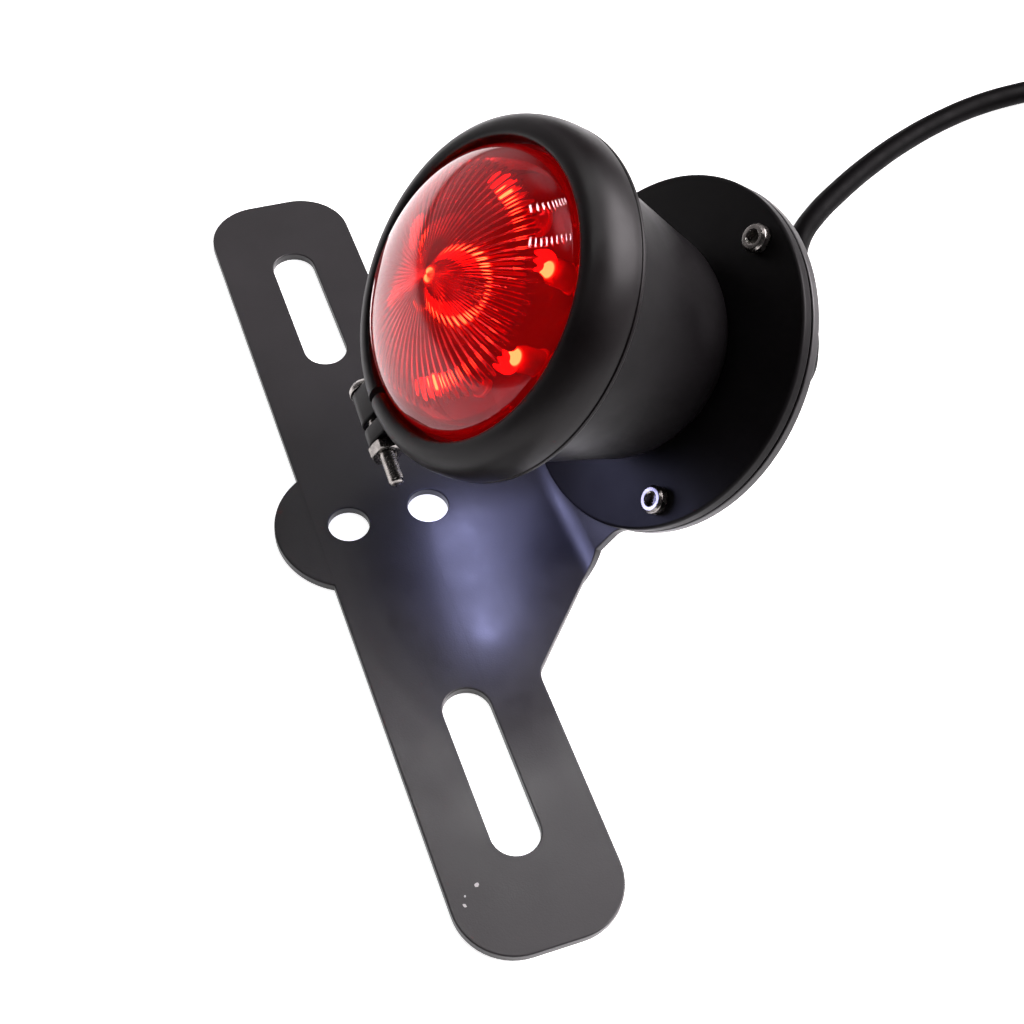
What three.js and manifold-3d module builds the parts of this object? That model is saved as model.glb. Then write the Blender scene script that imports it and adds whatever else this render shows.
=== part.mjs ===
// A motorcycle tail light with a number plate lamp, on its bent steel mounting bracket.
// Millimetres, +Z up. The back face of the bracket's bar lies on z = 0 with the bar along X, and the
// origin is the middle of that face. The lamp stands on the bent-up end of the bracket, on +Y.
import * as THREE from "three";
import { mergeGeometries, mergeVertices } from "three/addons/utils/BufferGeometryUtils.js";
import Module from "manifold-3d";

const wasm = await Module();
wasm.setup();

// ---- driving dimensions ----
const GAP = 0.3; // clearance kept between two touching pieces

const PLATE = 2; // bracket sheet thickness
const BAR_LENGTH = 195;
const BAR_WIDTH = 32;
const BAR_CORNER = 11.3;
const SLOT_X = 61.8; // centre of each number plate slot
const SLOT_LENGTH = 35.8;
const SLOT_WIDTH = 9.4;
const BOLT_HOLE_R = 4.2; // clears an M8 bolt
const BOLT_HOLE_Y = [-8.9, 8.1];
const BULGE_R = 16; // half-round swelling of the bar round the lower bolt hole
const BULGE_Y = -8;
const WEB_FOOT_X = 45; // half width of the web where it leaves the bar
const WEB_TOP_X = 23; // half width of the web where the two faces would meet
const NECK_X = 22.2; // half width of the short neck between the bend and the disc
const WEB_FILLET = 5;
const BEND_Y = 36; // where the two back faces would meet if the bend were sharp
const BEND_ANGLE = THREE.MathUtils.degToRad(55);
const BEND_INNER_R = 5;
const DISC_R = 36; // round end of the bracket, and the lamp's flange in front of it
const DISC_DISTANCE = 39.1; // from the bend to the middle of the disc

const FLANGE_BACK = PLATE + GAP; // the lamp's own distances run along its axis from the bracket's back
const FLANGE_FRONT = 4.9;
const FLOOR = 5.2; // inside bottom of the housing
const HEAD_DROP = 0.5; // the housing's bowl, ring and lens sit this far below the flange's middle
const WALL_FOOT_Z = 16;
const WALL_FOOT_R = 23.7;
const RIM_BACK = 43.5;
const RIM_FRONT = 46.5;
const WALL_RIM_R = 29.8;
const RIM_R = 32;
const WALL = 1.8;
const FLANGE_SCREW_CIRCLE = 30.7;
const FLANGE_SCREW_ANGLES = [90, 210, 330];
const CABLE_HOLE_R = 4.6;

const RING_R = 33.6;
const RING_FRONT = 55.1;
const RING_OPENING_R = 27.7;
const RING_SHOULDER = 50.2;
const LENS_FLANGE_R = 31.2;
const LENS_R = 26.7;
const LENS_EDGE = 53.6;
const LENS_TOP = 65;
const LENS_WALL = 2.4;
const LENS_FULLNESS = 0.63; // 0.5 is a half ellipse, 1 a paraboloid

const CLAMP_X = -1.2; // the clamp's slit, below the middle of the ring
const CLAMP_Y = -37.04;
const CLAMP_Z = 48.3;
const CLAMP_TILT = THREE.MathUtils.degToRad(-2.6);
const CLAMP_GAP = 1.6;
const HEAD_EAR = 8.3; // from the slit's middle to the outside of the ear under the screw's head
const NUT_EAR = 4.5;
const EAR_WIDTH = 5.6;
const CLAMP_TIP = 13.9; // from the slit's middle to the end of the clamp screw
const M3_R = 1.5;
const M3_NUT_AF = 5.5;
const M3_NUT = 2.4;

const BOARD_BACK = 40.6;
const BOARD = 1.6;
const BOARD_R = 26.8;
const BOSS_CIRCLE = 23;
const BOSS_R = 3;
const LED_CIRCLE = 16;
const LED_R = 2.5;
const LED_HEIGHT = 7.8;

const WINDOW_HALF = 17; // number plate window, half its length across the lamp
const WINDOW_Z = [24, 36];
const WHITE_LED_PITCH = 11;

const CABLE_R = 2.8;
const GROMMET_END = -22; // tip of the strain relief behind the bracket
const INNER_CABLE_END = 12;
const TURN_R = [28, 33.8]; // inner and outer turn of the coil
const COIL_CENTRE = [-53.7, 238];
const COIL_TIES = [60, 300];
// Middle of the free cable from the strain relief to the coil, in the bracket's frame.
const CABLE_ROUTE = [
  [0, 76.78, 19.18],
  [0, 79.72, 17.12],
  [-0.9, 86, 13.2],
  [-4, 92.9, 9.3],
  [-8.8, 98.6, 6.4],
  [-15.2, 103.3, 4.6],
  [-22.3, 107, 3.5],
  [-30, 109.9, 3],
  [-37.9, 112.6, 2.8],
  [-45.4, 115.9, 2.8],
  [-51.8, 120.4, 2.8],
  [-57.5, 126.9, 2.8],
  [-65, 138.4, 2.8],
  [-71.8, 150.8, 2.8],
  [-77.8, 164, 2.8],
  [-82.8, 178.4, 2.8],
  [-86, 192.4, 2.8],
  [-87.3, 206, 2.8],
  [-87.5, 217.8, 2.8],
];
// Ways of the three cores inside the coil, measured from its centre, up to their bullet connectors.
const CORE_ROUTES = [
  [[-2, 23.1, 3.3], [-0.5, 23.2, 3.2], [6, 21.4, 2.4], [12.4, 16.6, 1.6], [16.5, 9.6, 1.8], [17.5, 2, 2.1]],
  [[-1.8, 21.2, 3.3], [-0.3, 21.3, 3.2], [5, 18.4, 2.4], [9, 13.4, 1.6], [11.3, 8, 1.8], [11.5, 2, 2.1]],
  [[-1.6, 19.3, 3.3], [-0.1, 19.4, 3.2], [2.6, 16.6, 2.4], [4.6, 12, 1.6], [5.4, 7, 1.8], [5.5, 2, 2.1]],
];
const CORE_R = 0.75;
const BULLET_R = 2.1;
const BULLET_LENGTH = 14;

const BLACK = { color: 0x2f2c2f, roughness: 0.5, metalness: 0.3 };
const GREY_BLACK = { color: 0x38353a, roughness: 0.45, metalness: 0.4 };
const STEEL = { color: 0xb8b8b4, roughness: 0.3, metalness: 1 };
const RUBBER = { color: 0x1b1b1c, roughness: 0.8, metalness: 0 };
const RED_LENS = { color: 0xd81426, roughness: 0.08, metalness: 0, transparent: true, opacity: 0.7 };
const RED_LED = { color: 0xff3020, roughness: 0.2, metalness: 0, emissive: 0xff2010 };
const WHITE_LED = { color: 0xf4f6ff, roughness: 0.3, metalness: 0, emissive: 0xdfe6ff };
const CLEAR = { color: 0xe8eef2, roughness: 0.05, metalness: 0, transparent: true, opacity: 0.4 };
const CIRCUIT = { color: 0xe6e4dc, roughness: 0.6, metalness: 0 };
const SHEATH = { color: 0x29282a, roughness: 0.5, metalness: 0 };
const CORE_COLOURS = [0xa3161a, 0x171717, 0xc9a21c];
const BRASS = { color: 0xb89650, roughness: 0.35, metalness: 1 };

// ---- geometry helpers ----
function solid(geometry) {
  const bare = geometry.index ? geometry.toNonIndexed() : geometry.clone();
  bare.deleteAttribute("normal");
  bare.deleteAttribute("uv");
  const merged = mergeVertices(bare);
  return new wasm.Manifold(
    new wasm.Mesh({
      numProp: 3,
      vertProperties: merged.attributes.position.array,
      triVerts: new Uint32Array(merged.index.array),
    }),
  );
}

function geometryOf(made) {
  const mesh = made.getMesh();
  const geometry = new THREE.BufferGeometry();
  geometry.setAttribute("position", new THREE.BufferAttribute(mesh.vertProperties, 3));
  geometry.setIndex(new THREE.BufferAttribute(mesh.triVerts, 1));
  geometry.computeVertexNormals();
  return geometry;
}

function join(...geometries) {
  return geometryOf(geometries.map(solid).reduce((all, next) => all.add(next)));
}

function cut(geometry, ...tools) {
  return geometryOf(tools.map(solid).reduce((left, tool) => left.subtract(tool), solid(geometry)));
}

function common(a, b) {
  return geometryOf(solid(a).intersect(solid(b)));
}

// Turns a profile of [radius, height] points round Z.
function revolve(profile, segments) {
  const points = profile.map(([r, z]) => new THREE.Vector2(r, z));
  const closed = profile[0][0] > 0;
  const ring = closed ? [...points, points[0].clone()] : points;
  const area = THREE.ShapeUtils.area(points);
  if (area < 0) ring.reverse();
  return new THREE.LatheGeometry(ring, segments).rotateX(Math.PI / 2);
}

function cylinder(radius, bottom, top, segments = 16) {
  return revolve([[0, bottom], [radius, bottom], [radius, top], [0, top]], segments);
}

function hexagon(acrossFlats, bottom, top) {
  return cylinder(acrossFlats / Math.sqrt(3), bottom, top, 6);
}

function box(size, centre) {
  return new THREE.BoxGeometry(...size).translate(...centre);
}

function extrude(shape, depth, curveSegments = 8) {
  return new THREE.ExtrudeGeometry(shape, { depth, bevelEnabled: false, curveSegments });
}

function tube(points, radius, sides, steps) {
  const section = new THREE.Shape();
  for (let i = 0; i < sides; i++) {
    const a = (2 * Math.PI * i) / sides;
    const place = i ? "lineTo" : "moveTo";
    section[place](radius * Math.cos(a), radius * Math.sin(a));
  }
  const path = new THREE.CatmullRomCurve3(points.map((p) => new THREE.Vector3(...p)), false, "centripetal");
  return new THREE.ExtrudeGeometry(section, { steps, bevelEnabled: false, extrudePath: path });
}

function arc(radius, z, from, to, steps) {
  return Array.from({ length: steps + 1 }, (_, i) => {
    const a = THREE.MathUtils.degToRad(from + ((to - from) * i) / steps);
    return [radius * Math.cos(a), radius * Math.sin(a), z];
  });
}

function onCircle(radius, degrees) {
  const a = THREE.MathUtils.degToRad(degrees);
  return [radius * Math.cos(a), radius * Math.sin(a)];
}

const group = new THREE.Group();
group.name = "tail_light";
const lamp = new THREE.Group(); // z along the lamp's axis, x along the bar, 0 on the bracket's back
lamp.rotation.x = BEND_ANGLE;
lamp.position.set(
  0,
  BEND_Y + DISC_DISTANCE * Math.cos(BEND_ANGLE),
  DISC_DISTANCE * Math.sin(BEND_ANGLE),
);
const head = new THREE.Group(); // the bowl's own axis, a little below the lamp's
head.position.y = -HEAD_DROP;
lamp.add(head);
const coil = new THREE.Group();
coil.position.set(...COIL_CENTRE, 0);
group.add(lamp, coil);

function add(parent, name, geometry, look) {
  const mesh = new THREE.Mesh(geometry, new THREE.MeshStandardMaterial(look));
  mesh.name = name;
  parent.add(mesh);
  return mesh;
}

// ---- bracket ----
function slotHole(x) {
  const r = SLOT_WIDTH / 2;
  const half = SLOT_LENGTH / 2 - r;
  const hole = new THREE.Path();
  hole.absarc(x + half, 0, r, -Math.PI / 2, Math.PI / 2, false);
  hole.absarc(x - half, 0, r, Math.PI / 2, 1.5 * Math.PI, false);
  return hole;
}

function roundHole(x, y, r) {
  const hole = new THREE.Path();
  hole.absarc(x, y, r, 0, 2 * Math.PI, false);
  return hole;
}

// The flat bar with its bulge and the web that narrows towards the bend.
function barOutline(flatEnd) {
  const x = BAR_LENGTH / 2;
  const y = BAR_WIDTH / 2;
  const c = BAR_CORNER;
  const slope = (WEB_FOOT_X - WEB_TOP_X) / (BEND_Y - y);
  const webX = WEB_TOP_X + slope * (BEND_Y - flatEnd);
  const lean = Math.atan2(1, slope); // the web's edge against the bar's
  const run = WEB_FILLET * Math.tan(lean / 2);
  const shape = new THREE.Shape();
  const bulgeStart = Math.asin((-y - BULGE_Y) / BULGE_R);
  shape.absarc(0, BULGE_Y, BULGE_R, Math.PI - bulgeStart, 2 * Math.PI + bulgeStart, false);
  shape.absarc(x - c, -y + c, c, -Math.PI / 2, 0, false);
  shape.absarc(x - c, y - c, c, 0, Math.PI / 2, false);
  shape.absarc(WEB_FOOT_X + run, y + WEB_FILLET, WEB_FILLET, 1.5 * Math.PI, 1.5 * Math.PI - lean, true);
  shape.lineTo(webX, flatEnd);
  shape.lineTo(-webX, flatEnd);
  shape.absarc(-WEB_FOOT_X - run, y + WEB_FILLET, WEB_FILLET, 1.5 * Math.PI + lean, 1.5 * Math.PI, true);
  shape.absarc(-x + c, y - c, c, Math.PI / 2, Math.PI, false);
  shape.absarc(-x + c, -y + c, c, Math.PI, 1.5 * Math.PI, false);
  for (const side of [-1, 1]) shape.holes.push(slotHole(side * SLOT_X));
  for (const holeY of BOLT_HOLE_Y) shape.holes.push(roundHole(0, holeY, BOLT_HOLE_R));
  return shape;
}

// The bent-up end in the lamp's frame: a short neck that flares into the disc.
function discOutline(neckEnd) {
  const flare = 5;
  const neckX = NECK_X;
  const far = DISC_R + flare;
  const flareY = -Math.sqrt(far * far - (neckX + flare) ** 2);
  const turn = Math.atan2(-flareY, neckX + flare);
  const shape = new THREE.Shape();
  shape.moveTo(neckX, neckEnd);
  shape.lineTo(neckX, flareY);
  shape.absarc(neckX + flare, flareY, flare, Math.PI, Math.PI - turn, true);
  shape.absarc(0, 0, DISC_R, -turn, Math.PI + turn, false);
  shape.absarc(-neckX - flare, flareY, flare, turn, 0, true);
  shape.lineTo(-neckX, neckEnd);
  shape.holes.push(roundHole(0, 0, CABLE_HOLE_R));
  for (const angle of FLANGE_SCREW_ANGLES) {
    shape.holes.push(roundHole(...onCircle(FLANGE_SCREW_CIRCLE, angle), M3_R + GAP));
  }
  return shape;
}

// Leaves out the triangles whose three corners all lie on a seam, so that two pieces can be sewn there.
function openSeam(geometry, onSeam) {
  const bare = geometry.clone(); // ExtrudeGeometry has no index
  bare.deleteAttribute("normal");
  bare.deleteAttribute("uv");
  const all = bare.attributes.position;
  const kept = [];
  for (let i = 0; i < all.count; i += 3) {
    const corners = [0, 1, 2].map((k) => new THREE.Vector3().fromBufferAttribute(all, i + k));
    if (!corners.every(onSeam)) corners.forEach((corner) => kept.push(...corner.toArray()));
  }
  return new THREE.BufferGeometry().setAttribute("position", new THREE.Float32BufferAttribute(kept, 3));
}

// The curved strip of the bend, narrowing from the web's width to the neck's, open at both ends.
function bendStrip(flatEnd, webX, neckX) {
  const outer = BEND_INNER_R + PLATE;
  const section = new THREE.Shape();
  section.absarc(0, outer, outer, -Math.PI / 2, -Math.PI / 2 + BEND_ANGLE, false);
  section.absarc(0, outer, BEND_INNER_R, -Math.PI / 2 + BEND_ANGLE, -Math.PI / 2, true);
  const turned = (along, up) => Math.atan2(along, outer - up) / BEND_ANGLE;
  const bar = extrude(section, 2, 7).translate(0, 0, -1);
  const half = openSeam(bar, (p) => Math.abs(turned(p.x, p.y)) < 1e-4);
  const strip = openSeam(half, (p) => Math.abs(turned(p.x, p.y) - 1) < 1e-4);
  const position = strip.attributes.position;
  for (let i = 0; i < position.count; i++) {
    const [along, up, side] = [position.getX(i), position.getY(i), position.getZ(i)];
    const x = side * THREE.MathUtils.lerp(webX, neckX, turned(along, up));
    position.setXYZ(i, x, flatEnd + along, up);
  }
  return strip;
}

// The bar, the bend and the disc are one sheet, sewn edge to edge.
function bracket() {
  const setback = (BEND_INNER_R + PLATE) * Math.tan(BEND_ANGLE / 2);
  const flatEnd = BEND_Y - setback;
  const neckEnd = setback - DISC_DISTANCE;
  const slope = (WEB_FOOT_X - WEB_TOP_X) / (BEND_Y - BAR_WIDTH / 2);
  const bar = openSeam(extrude(barOutline(flatEnd), PLATE, 6), (p) => p.y > flatEnd - 1e-3);
  const disc = openSeam(extrude(discOutline(neckEnd), PLATE, 12), (p) => p.y < neckEnd + 1e-3);
  const bend = bendStrip(flatEnd, WEB_TOP_X + slope * setback, NECK_X);
  lamp.updateMatrix();
  return mergeVertices(mergeGeometries([bar, bend, disc.applyMatrix4(lamp.matrix)]), 1e-3);
}

// ---- housing ----
// Outside radius of the housing's wall at a height along the axis.
function wallRadius(z) {
  const taper = (WALL_RIM_R - WALL_FOOT_R) / (RIM_BACK - WALL_FOOT_Z);
  return WALL_FOOT_R + taper * (z - WALL_FOOT_Z);
}

function wallShell(outset, inset, bottom, top) {
  return revolve(
    [
      [wallRadius(bottom) - inset, bottom],
      [wallRadius(bottom) - outset, bottom],
      [wallRadius(top) - outset, top],
      [wallRadius(top) - inset, top],
    ],
    40,
  );
}

function flange() {
  return revolve(
    [
      [0, FLANGE_BACK],
      [DISC_R - 0.5, FLANGE_BACK],
      [DISC_R, FLANGE_BACK + 0.5],
      [DISC_R, FLANGE_FRONT - 0.7],
      [DISC_R - 0.7, FLANGE_FRONT],
      [0, FLANGE_FRONT],
    ],
    48,
  );
}

function bowl() {
  const inner = (z) => wallRadius(z) - WALL;
  return revolve(
    [
      [0, FLANGE_BACK + 0.6],
      [17, FLANGE_BACK + 0.6],
      [18.2, FLANGE_FRONT + 0.1],
      [19.8, 6.4],
      [21.6, 9],
      [22.9, 12.3],
      [WALL_FOOT_R, WALL_FOOT_Z],
      [WALL_RIM_R, RIM_BACK],
      [RIM_R, RIM_BACK + 0.4],
      [RIM_R, RIM_FRONT],
      [inner(RIM_FRONT), RIM_FRONT],
      [inner(WALL_FOOT_Z), WALL_FOOT_Z],
      [20.6, 12.3],
      [19.2, 9],
      [17.3, 6.7],
      [15, FLOOR],
      [0, FLOOR],
    ],
    40,
  );
}

// The flange and the bowl in the lamp's own distances, with the bowl a little lower.
function housing() {
  const onBoss = (made, angle) => made.translate(...onCircle(BOSS_CIRCLE, angle), 0);
  const bosses = FLANGE_SCREW_ANGLES.map((a) => onBoss(cylinder(BOSS_R, 30, BOARD_BACK - GAP, 12), a));
  const bossHoles = FLANGE_SCREW_ANGLES.map((a) => onBoss(cylinder(1.5, 34, BOARD_BACK + 1, 10), a));
  const windowHole = box(
    [2 * WINDOW_HALF, 16, WINDOW_Z[1] - WINDOW_Z[0]],
    [0, -27, (WINDOW_Z[0] + WINDOW_Z[1]) / 2],
  );
  const shell = cut(join(bowl(), ...bosses), ...bossHoles, windowHole).translate(0, -HEAD_DROP, 0);
  const screwHoles = FLANGE_SCREW_ANGLES.map((angle) =>
    cylinder(M3_R + GAP, 0, 8, 12).translate(...onCircle(FLANGE_SCREW_CIRCLE, angle), 0),
  );
  return cut(join(flange(), shell), ...screwHoles, cylinder(CABLE_HOLE_R, 0, 8));
}

// Flush clear window in the wall, held by a wider foot on the inside.
function plateWindow() {
  const middle = (WINDOW_Z[0] + WINDOW_Z[1]) / 2;
  const height = WINDOW_Z[1] - WINDOW_Z[0];
  const plug = common(
    wallShell(0.1, WALL + GAP + 1.2, WINDOW_Z[0] - 4, WINDOW_Z[1] + 4),
    box([2 * (WINDOW_HALF - GAP), 16, height - 2 * GAP], [0, -27, middle]),
  );
  const foot = common(
    wallShell(WALL + GAP, WALL + GAP + 1.2, WINDOW_Z[0] - 4, WINDOW_Z[1] + 4),
    box([2 * WINDOW_HALF + 2, 20, height + 4], [0, -25, middle]),
  );
  return join(plug, foot);
}

// ---- fasteners ----
function socketScrew(headBase, tip) {
  const head = revolve(
    [
      [0, tip],
      [M3_R, tip],
      [M3_R, headBase],
      [2.8, headBase],
      [2.8, headBase + 1.6],
      [2.4, headBase + 2.1],
      [0, headBase + 2.1],
    ],
    16,
  );
  return cut(head, hexagon(2.5, headBase + 0.7, headBase + 3));
}

function panScrew(headBase, tip) {
  return revolve(
    [
      [0, tip],
      [M3_R - 0.3, tip],
      [M3_R, tip + 0.4],
      [M3_R, headBase],
      [3.1, headBase],
      [3.1, headBase + 0.9],
      [2.5, headBase + 1.8],
      [1.3, headBase + 2.3],
      [0, headBase + 2.4],
    ],
    16,
  );
}

function nut(bottom) {
  return cut(hexagon(M3_NUT_AF, bottom, bottom + M3_NUT), cylinder(M3_R + GAP, bottom - 1, bottom + 4, 12));
}

function flangeFasteners() {
  FLANGE_SCREW_ANGLES.forEach((angle, i) => {
    const [x, y] = onCircle(FLANGE_SCREW_CIRCLE, angle);
    add(lamp, `flange_screw_${i}`, socketScrew(FLANGE_FRONT + GAP, -3.6), STEEL).position.set(x, y, 0);
    add(lamp, `flange_nut_${i}`, nut(-GAP - M3_NUT), STEEL).position.set(x, y, 0);
  });
}

// ---- trim ring and lens ----
function ringProfile() {
  return [
    [RIM_R + GAP, 44.3],
    [33, 44.3],
    [RING_R - 0.2, 44.8],
    [RING_R, 45.6],
    [RING_R, 47.6],
    [33.4, 49.6],
    [32.9, 51.6],
    [32.1, 53.2],
    [31, 54.4],
    [29.8, RING_FRONT],
    [28.6, RING_FRONT],
    [RING_OPENING_R + 0.2, 54.8],
    [RING_OPENING_R, 54.2],
    [RING_OPENING_R, RING_SHOULDER],
    [RIM_R + GAP, RING_SHOULDER],
  ];
}

// Sets a piece made round the slit's middle, with x along the screw, in its place below the ring.
function atClamp(geometry) {
  return geometry.rotateZ(CLAMP_TILT).translate(CLAMP_X, CLAMP_Y, CLAMP_Z);
}

function ear(from, to) {
  const reach = 5.5; // into the ring's wall
  const shape = new THREE.Shape();
  shape.moveTo(reach, -EAR_WIDTH / 2);
  shape.lineTo(reach, EAR_WIDTH / 2);
  shape.absarc(0, 0, EAR_WIDTH / 2, Math.PI / 2, 1.5 * Math.PI, false);
  const block = extrude(shape, to - from, 5);
  block.rotateX(Math.PI / 2).rotateZ(Math.PI / 2); // shape x to y, shape y to z, depth to x
  return atClamp(block.translate(from, 0, 0));
}

function alongScrew(geometry) {
  return atClamp(geometry.rotateY(-Math.PI / 2));
}

function trimRing() {
  const inside = revolve([[0, 40], [RIM_R + GAP, 40], [RIM_R + GAP, RING_SHOULDER], [0, RING_SHOULDER]], 48);
  const ears = [ear(-HEAD_EAR, -CLAMP_GAP / 2), ear(CLAMP_GAP / 2, NUT_EAR)];
  const ring = cut(join(...ears, revolve(ringProfile(), 48)), inside);
  const split = atClamp(box([CLAMP_GAP, 24, 30], [0, 0, 0]));
  const bolt = alongScrew(cylinder(M3_R + GAP, -20, 20, 12));
  return cut(ring, split, bolt);
}

function domeArc(radius, edge, top, steps) {
  const rise = top - edge;
  const sphere = (radius * radius + rise * rise) / (2 * rise);
  const widest = Math.asin(radius / sphere);
  return Array.from({ length: steps + 1 }, (_, i) => {
    const a = widest * (1 - i / steps);
    return [i === steps ? 0 : sphere * Math.sin(a), top - sphere + sphere * Math.cos(a)];
  });
}

// The lens's own dome is fuller than a sphere's cap.
function lensDome(radius, edge, top, steps) {
  return Array.from({ length: steps + 1 }, (_, i) => {
    const t = i === steps ? 0 : Math.sin((Math.PI / 2) * (1 - i / steps));
    return [radius * t, edge + (top - edge) * (1 - t * t) ** LENS_FULLNESS];
  });
}

function lens() {
  const outer = lensDome(LENS_R, LENS_EDGE, LENS_TOP, 9);
  const inner = lensDome(LENS_R - LENS_WALL, LENS_EDGE - 1, LENS_TOP - LENS_WALL, 8);
  return revolve(
    [
      ...inner.reverse(),
      [LENS_R - LENS_WALL, RIM_FRONT + 1.6],
      [LENS_FLANGE_R, RIM_FRONT + 1.6],
      [LENS_FLANGE_R, RING_SHOULDER - GAP],
      [LENS_R, RING_SHOULDER - GAP],
      ...outer,
    ],
    36,
  );
}

function lensGasket() {
  const [back, front] = [RIM_FRONT + GAP, RIM_FRONT + 1.3];
  return revolve([[29, back], [LENS_FLANGE_R, back], [LENS_FLANGE_R, front], [29, front]], 36);
}

function clampParts() {
  const screw = alongScrew(panScrew(HEAD_EAR + GAP, -CLAMP_TIP));
  add(head, "clamp_screw", screw, STEEL);
  const held = alongScrew(nut(-NUT_EAR - GAP - M3_NUT));
  add(head, "clamp_nut", held, STEEL);
}

// ---- lights ----
function ledBoard() {
  const shape = new THREE.Shape();
  shape.absarc(0, 0, BOARD_R, 0, 2 * Math.PI, false);
  for (const angle of FLANGE_SCREW_ANGLES) {
    shape.holes.push(roundHole(...onCircle(BOSS_CIRCLE, angle), 1.5));
  }
  return extrude(shape, BOARD, 18).translate(0, 0, BOARD_BACK);
}

function roundLed() {
  const base = BOARD_BACK + BOARD + GAP;
  const top = base + LED_HEIGHT;
  const dome = domeArc(LED_R, top - LED_R, top, 3);
  return revolve([[0, base], [LED_R + 0.4, base], [LED_R + 0.4, base + 1], [LED_R, base + 1], ...dome], 10);
}

function redLeds() {
  const places = [[0, 0], ...[0, 60, 120, 180, 240, 300].map((angle) => onCircle(LED_CIRCLE, angle))];
  places.forEach(([x, y], i) => add(head, `red_led_${i}`, roundLed(), RED_LED).position.set(x, y, 0));
}

function boardScrews() {
  const front = BOARD_BACK + BOARD + GAP;
  const shape = [[0, 35], [1.2, 35], [1.2, front], [2.3, front], [2.3, front + 1], [1.6, front + 1.6], [0, front + 1.6]];
  FLANGE_SCREW_ANGLES.forEach((angle, i) => {
    const [x, y] = onCircle(BOSS_CIRCLE, angle);
    add(head, `board_screw_${i}`, revolve(shape, 10), STEEL).position.set(x, y, 0);
  });
}

function plateLight() {
  const middle = (WINDOW_Z[0] + WINDOW_Z[1]) / 2;
  add(head, "plate_window", plateWindow(), CLEAR);
  add(head, "plate_led_board", box([26, 1.2, 9], [0, -15.6, middle]), CIRCUIT);
  for (const i of [0, 1, 2]) {
    const led = box([4, 1.6, 4], [(i - 1) * WHITE_LED_PITCH, -16.2 - GAP - 0.8, middle]);
    add(head, `white_led_${i}`, led, WHITE_LED);
  }
}

// ---- cable ----
function grommet() {
  return revolve(
    [
      [CABLE_R + GAP, GROMMET_END],
      [3.9, GROMMET_END],
      [5.2, -5],
      [7.2, -4],
      [7.2, -GAP],
      [CABLE_HOLE_R - GAP, -GAP],
      [CABLE_HOLE_R - GAP, FLOOR + GAP],
      [6.6, FLOOR + GAP],
      [6.6, FLOOR + 1.9],
      [CABLE_R + GAP, FLOOR + 1.9],
    ],
    16,
  );
}

function innerWires() {
  const start = INNER_CABLE_END + GAP;
  [-1, 0, 1].forEach((side, i) => {
    const x = side * 1.8;
    const route = [[x, 0, start], [x * 1.4, 2, 18], [side * 5, 6, 27], [side * 5, 9, 35], [side * 5, 9, BOARD_BACK - GAP]];
    const look = { ...SHEATH, color: CORE_COLOURS[i] };
    add(lamp, `inner_wire_${i}`, tube(route, CORE_R, 8, 12), look);
  });
}

function coilRing() {
  const [low, high] = [TURN_R[0] - CABLE_R, TURN_R[1] + CABLE_R];
  const top = 2 * CABLE_R;
  const edge = 1.6;
  const ring = revolve(
    [
      [low + edge, 0],
      [high - edge, 0],
      [high, edge],
      [high, top - edge],
      [high - edge, top],
      [low + edge, top],
      [low, top - edge],
      [low, edge],
    ],
    40,
  );
  const notches = COIL_TIES.map((angle) => tieBlock(angle, [20, 4.2, 2.4], [0, 0, 0]));
  return cut(ring, ...notches);
}

// A box placed at the middle of the turns, turned to point away from the coil's centre.
function tieBlock(angle, size, offset) {
  const middle = (TURN_R[0] + TURN_R[1]) / 2;
  const block = box(size, [middle + offset[0], offset[1], offset[2]]);
  return block.rotateZ(THREE.MathUtils.degToRad(angle));
}

function coilTie(angle) {
  const across = TURN_R[1] - TURN_R[0] + 2 * (CABLE_R + GAP);
  const strap = 0.8;
  const height = 2 * CABLE_R + GAP + strap;
  const outer = tieBlock(angle, [across + 2 * strap, 3.4, height], [0, 0, height / 2 + 0.05]);
  const hollow = tieBlock(angle, [across, 6, height - 2 * strap], [0, 0, height / 2 + 0.05]);
  const head = tieBlock(angle, [5, 4.6, 3], [0, 0, height + 1.5]);
  return join(cut(outer, hollow), head);
}

function cableEnd() {
  const sleeve = tube(arc(21.3, 3.3, 126, 96, 5), 3.3, 10, 5);
  add(coil, "cable_sleeve", sleeve, RUBBER);
  CORE_ROUTES.forEach((route, i) => {
    add(coil, `core_${i}`, tube(route, CORE_R, 8, 10), { ...SHEATH, color: CORE_COLOURS[i] });
    const [x, y, z] = route.at(-1);
    const bullet = revolve(
      [
        [0, 0],
        [1.6, 0],
        [BULLET_R, 0.6],
        [BULLET_R, BULLET_LENGTH - 4],
        [1.5, BULLET_LENGTH - 3.4],
        [1.5, BULLET_LENGTH - 1],
        [0.8, BULLET_LENGTH],
        [0, BULLET_LENGTH],
      ],
      12,
    ).rotateX(Math.PI / 2);
    add(coil, `bullet_${i}`, bullet, BRASS).position.set(x, y - GAP, z);
  });
}

function cable() {
  add(lamp, "cable_grommet", grommet(), RUBBER);
  add(lamp, "inner_cable", cylinder(CABLE_R, GROMMET_END + GAP, INNER_CABLE_END, 10), SHEATH);
  innerWires();
  add(group, "cable", tube(CABLE_ROUTE, CABLE_R, 10, 34), SHEATH);
  add(coil, "cable_coil", coilRing(), SHEATH);
  COIL_TIES.forEach((angle, i) => add(coil, `coil_tie_${i}`, coilTie(angle), RUBBER));
  cableEnd();
}

add(group, "bracket", bracket(), GREY_BLACK);
add(lamp, "housing", housing(), BLACK);
add(head, "trim_ring", trimRing(), BLACK);
add(head, "lens", lens(), RED_LENS);
add(head, "lens_gasket", lensGasket(), RUBBER);
add(head, "led_board", ledBoard(), CIRCUIT);
flangeFasteners();
clampParts();
redLeds();
boardScrews();
plateLight();
cable();

export default group;
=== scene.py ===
import math

import bmesh
import bpy
from mathutils import Matrix, Vector


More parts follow.
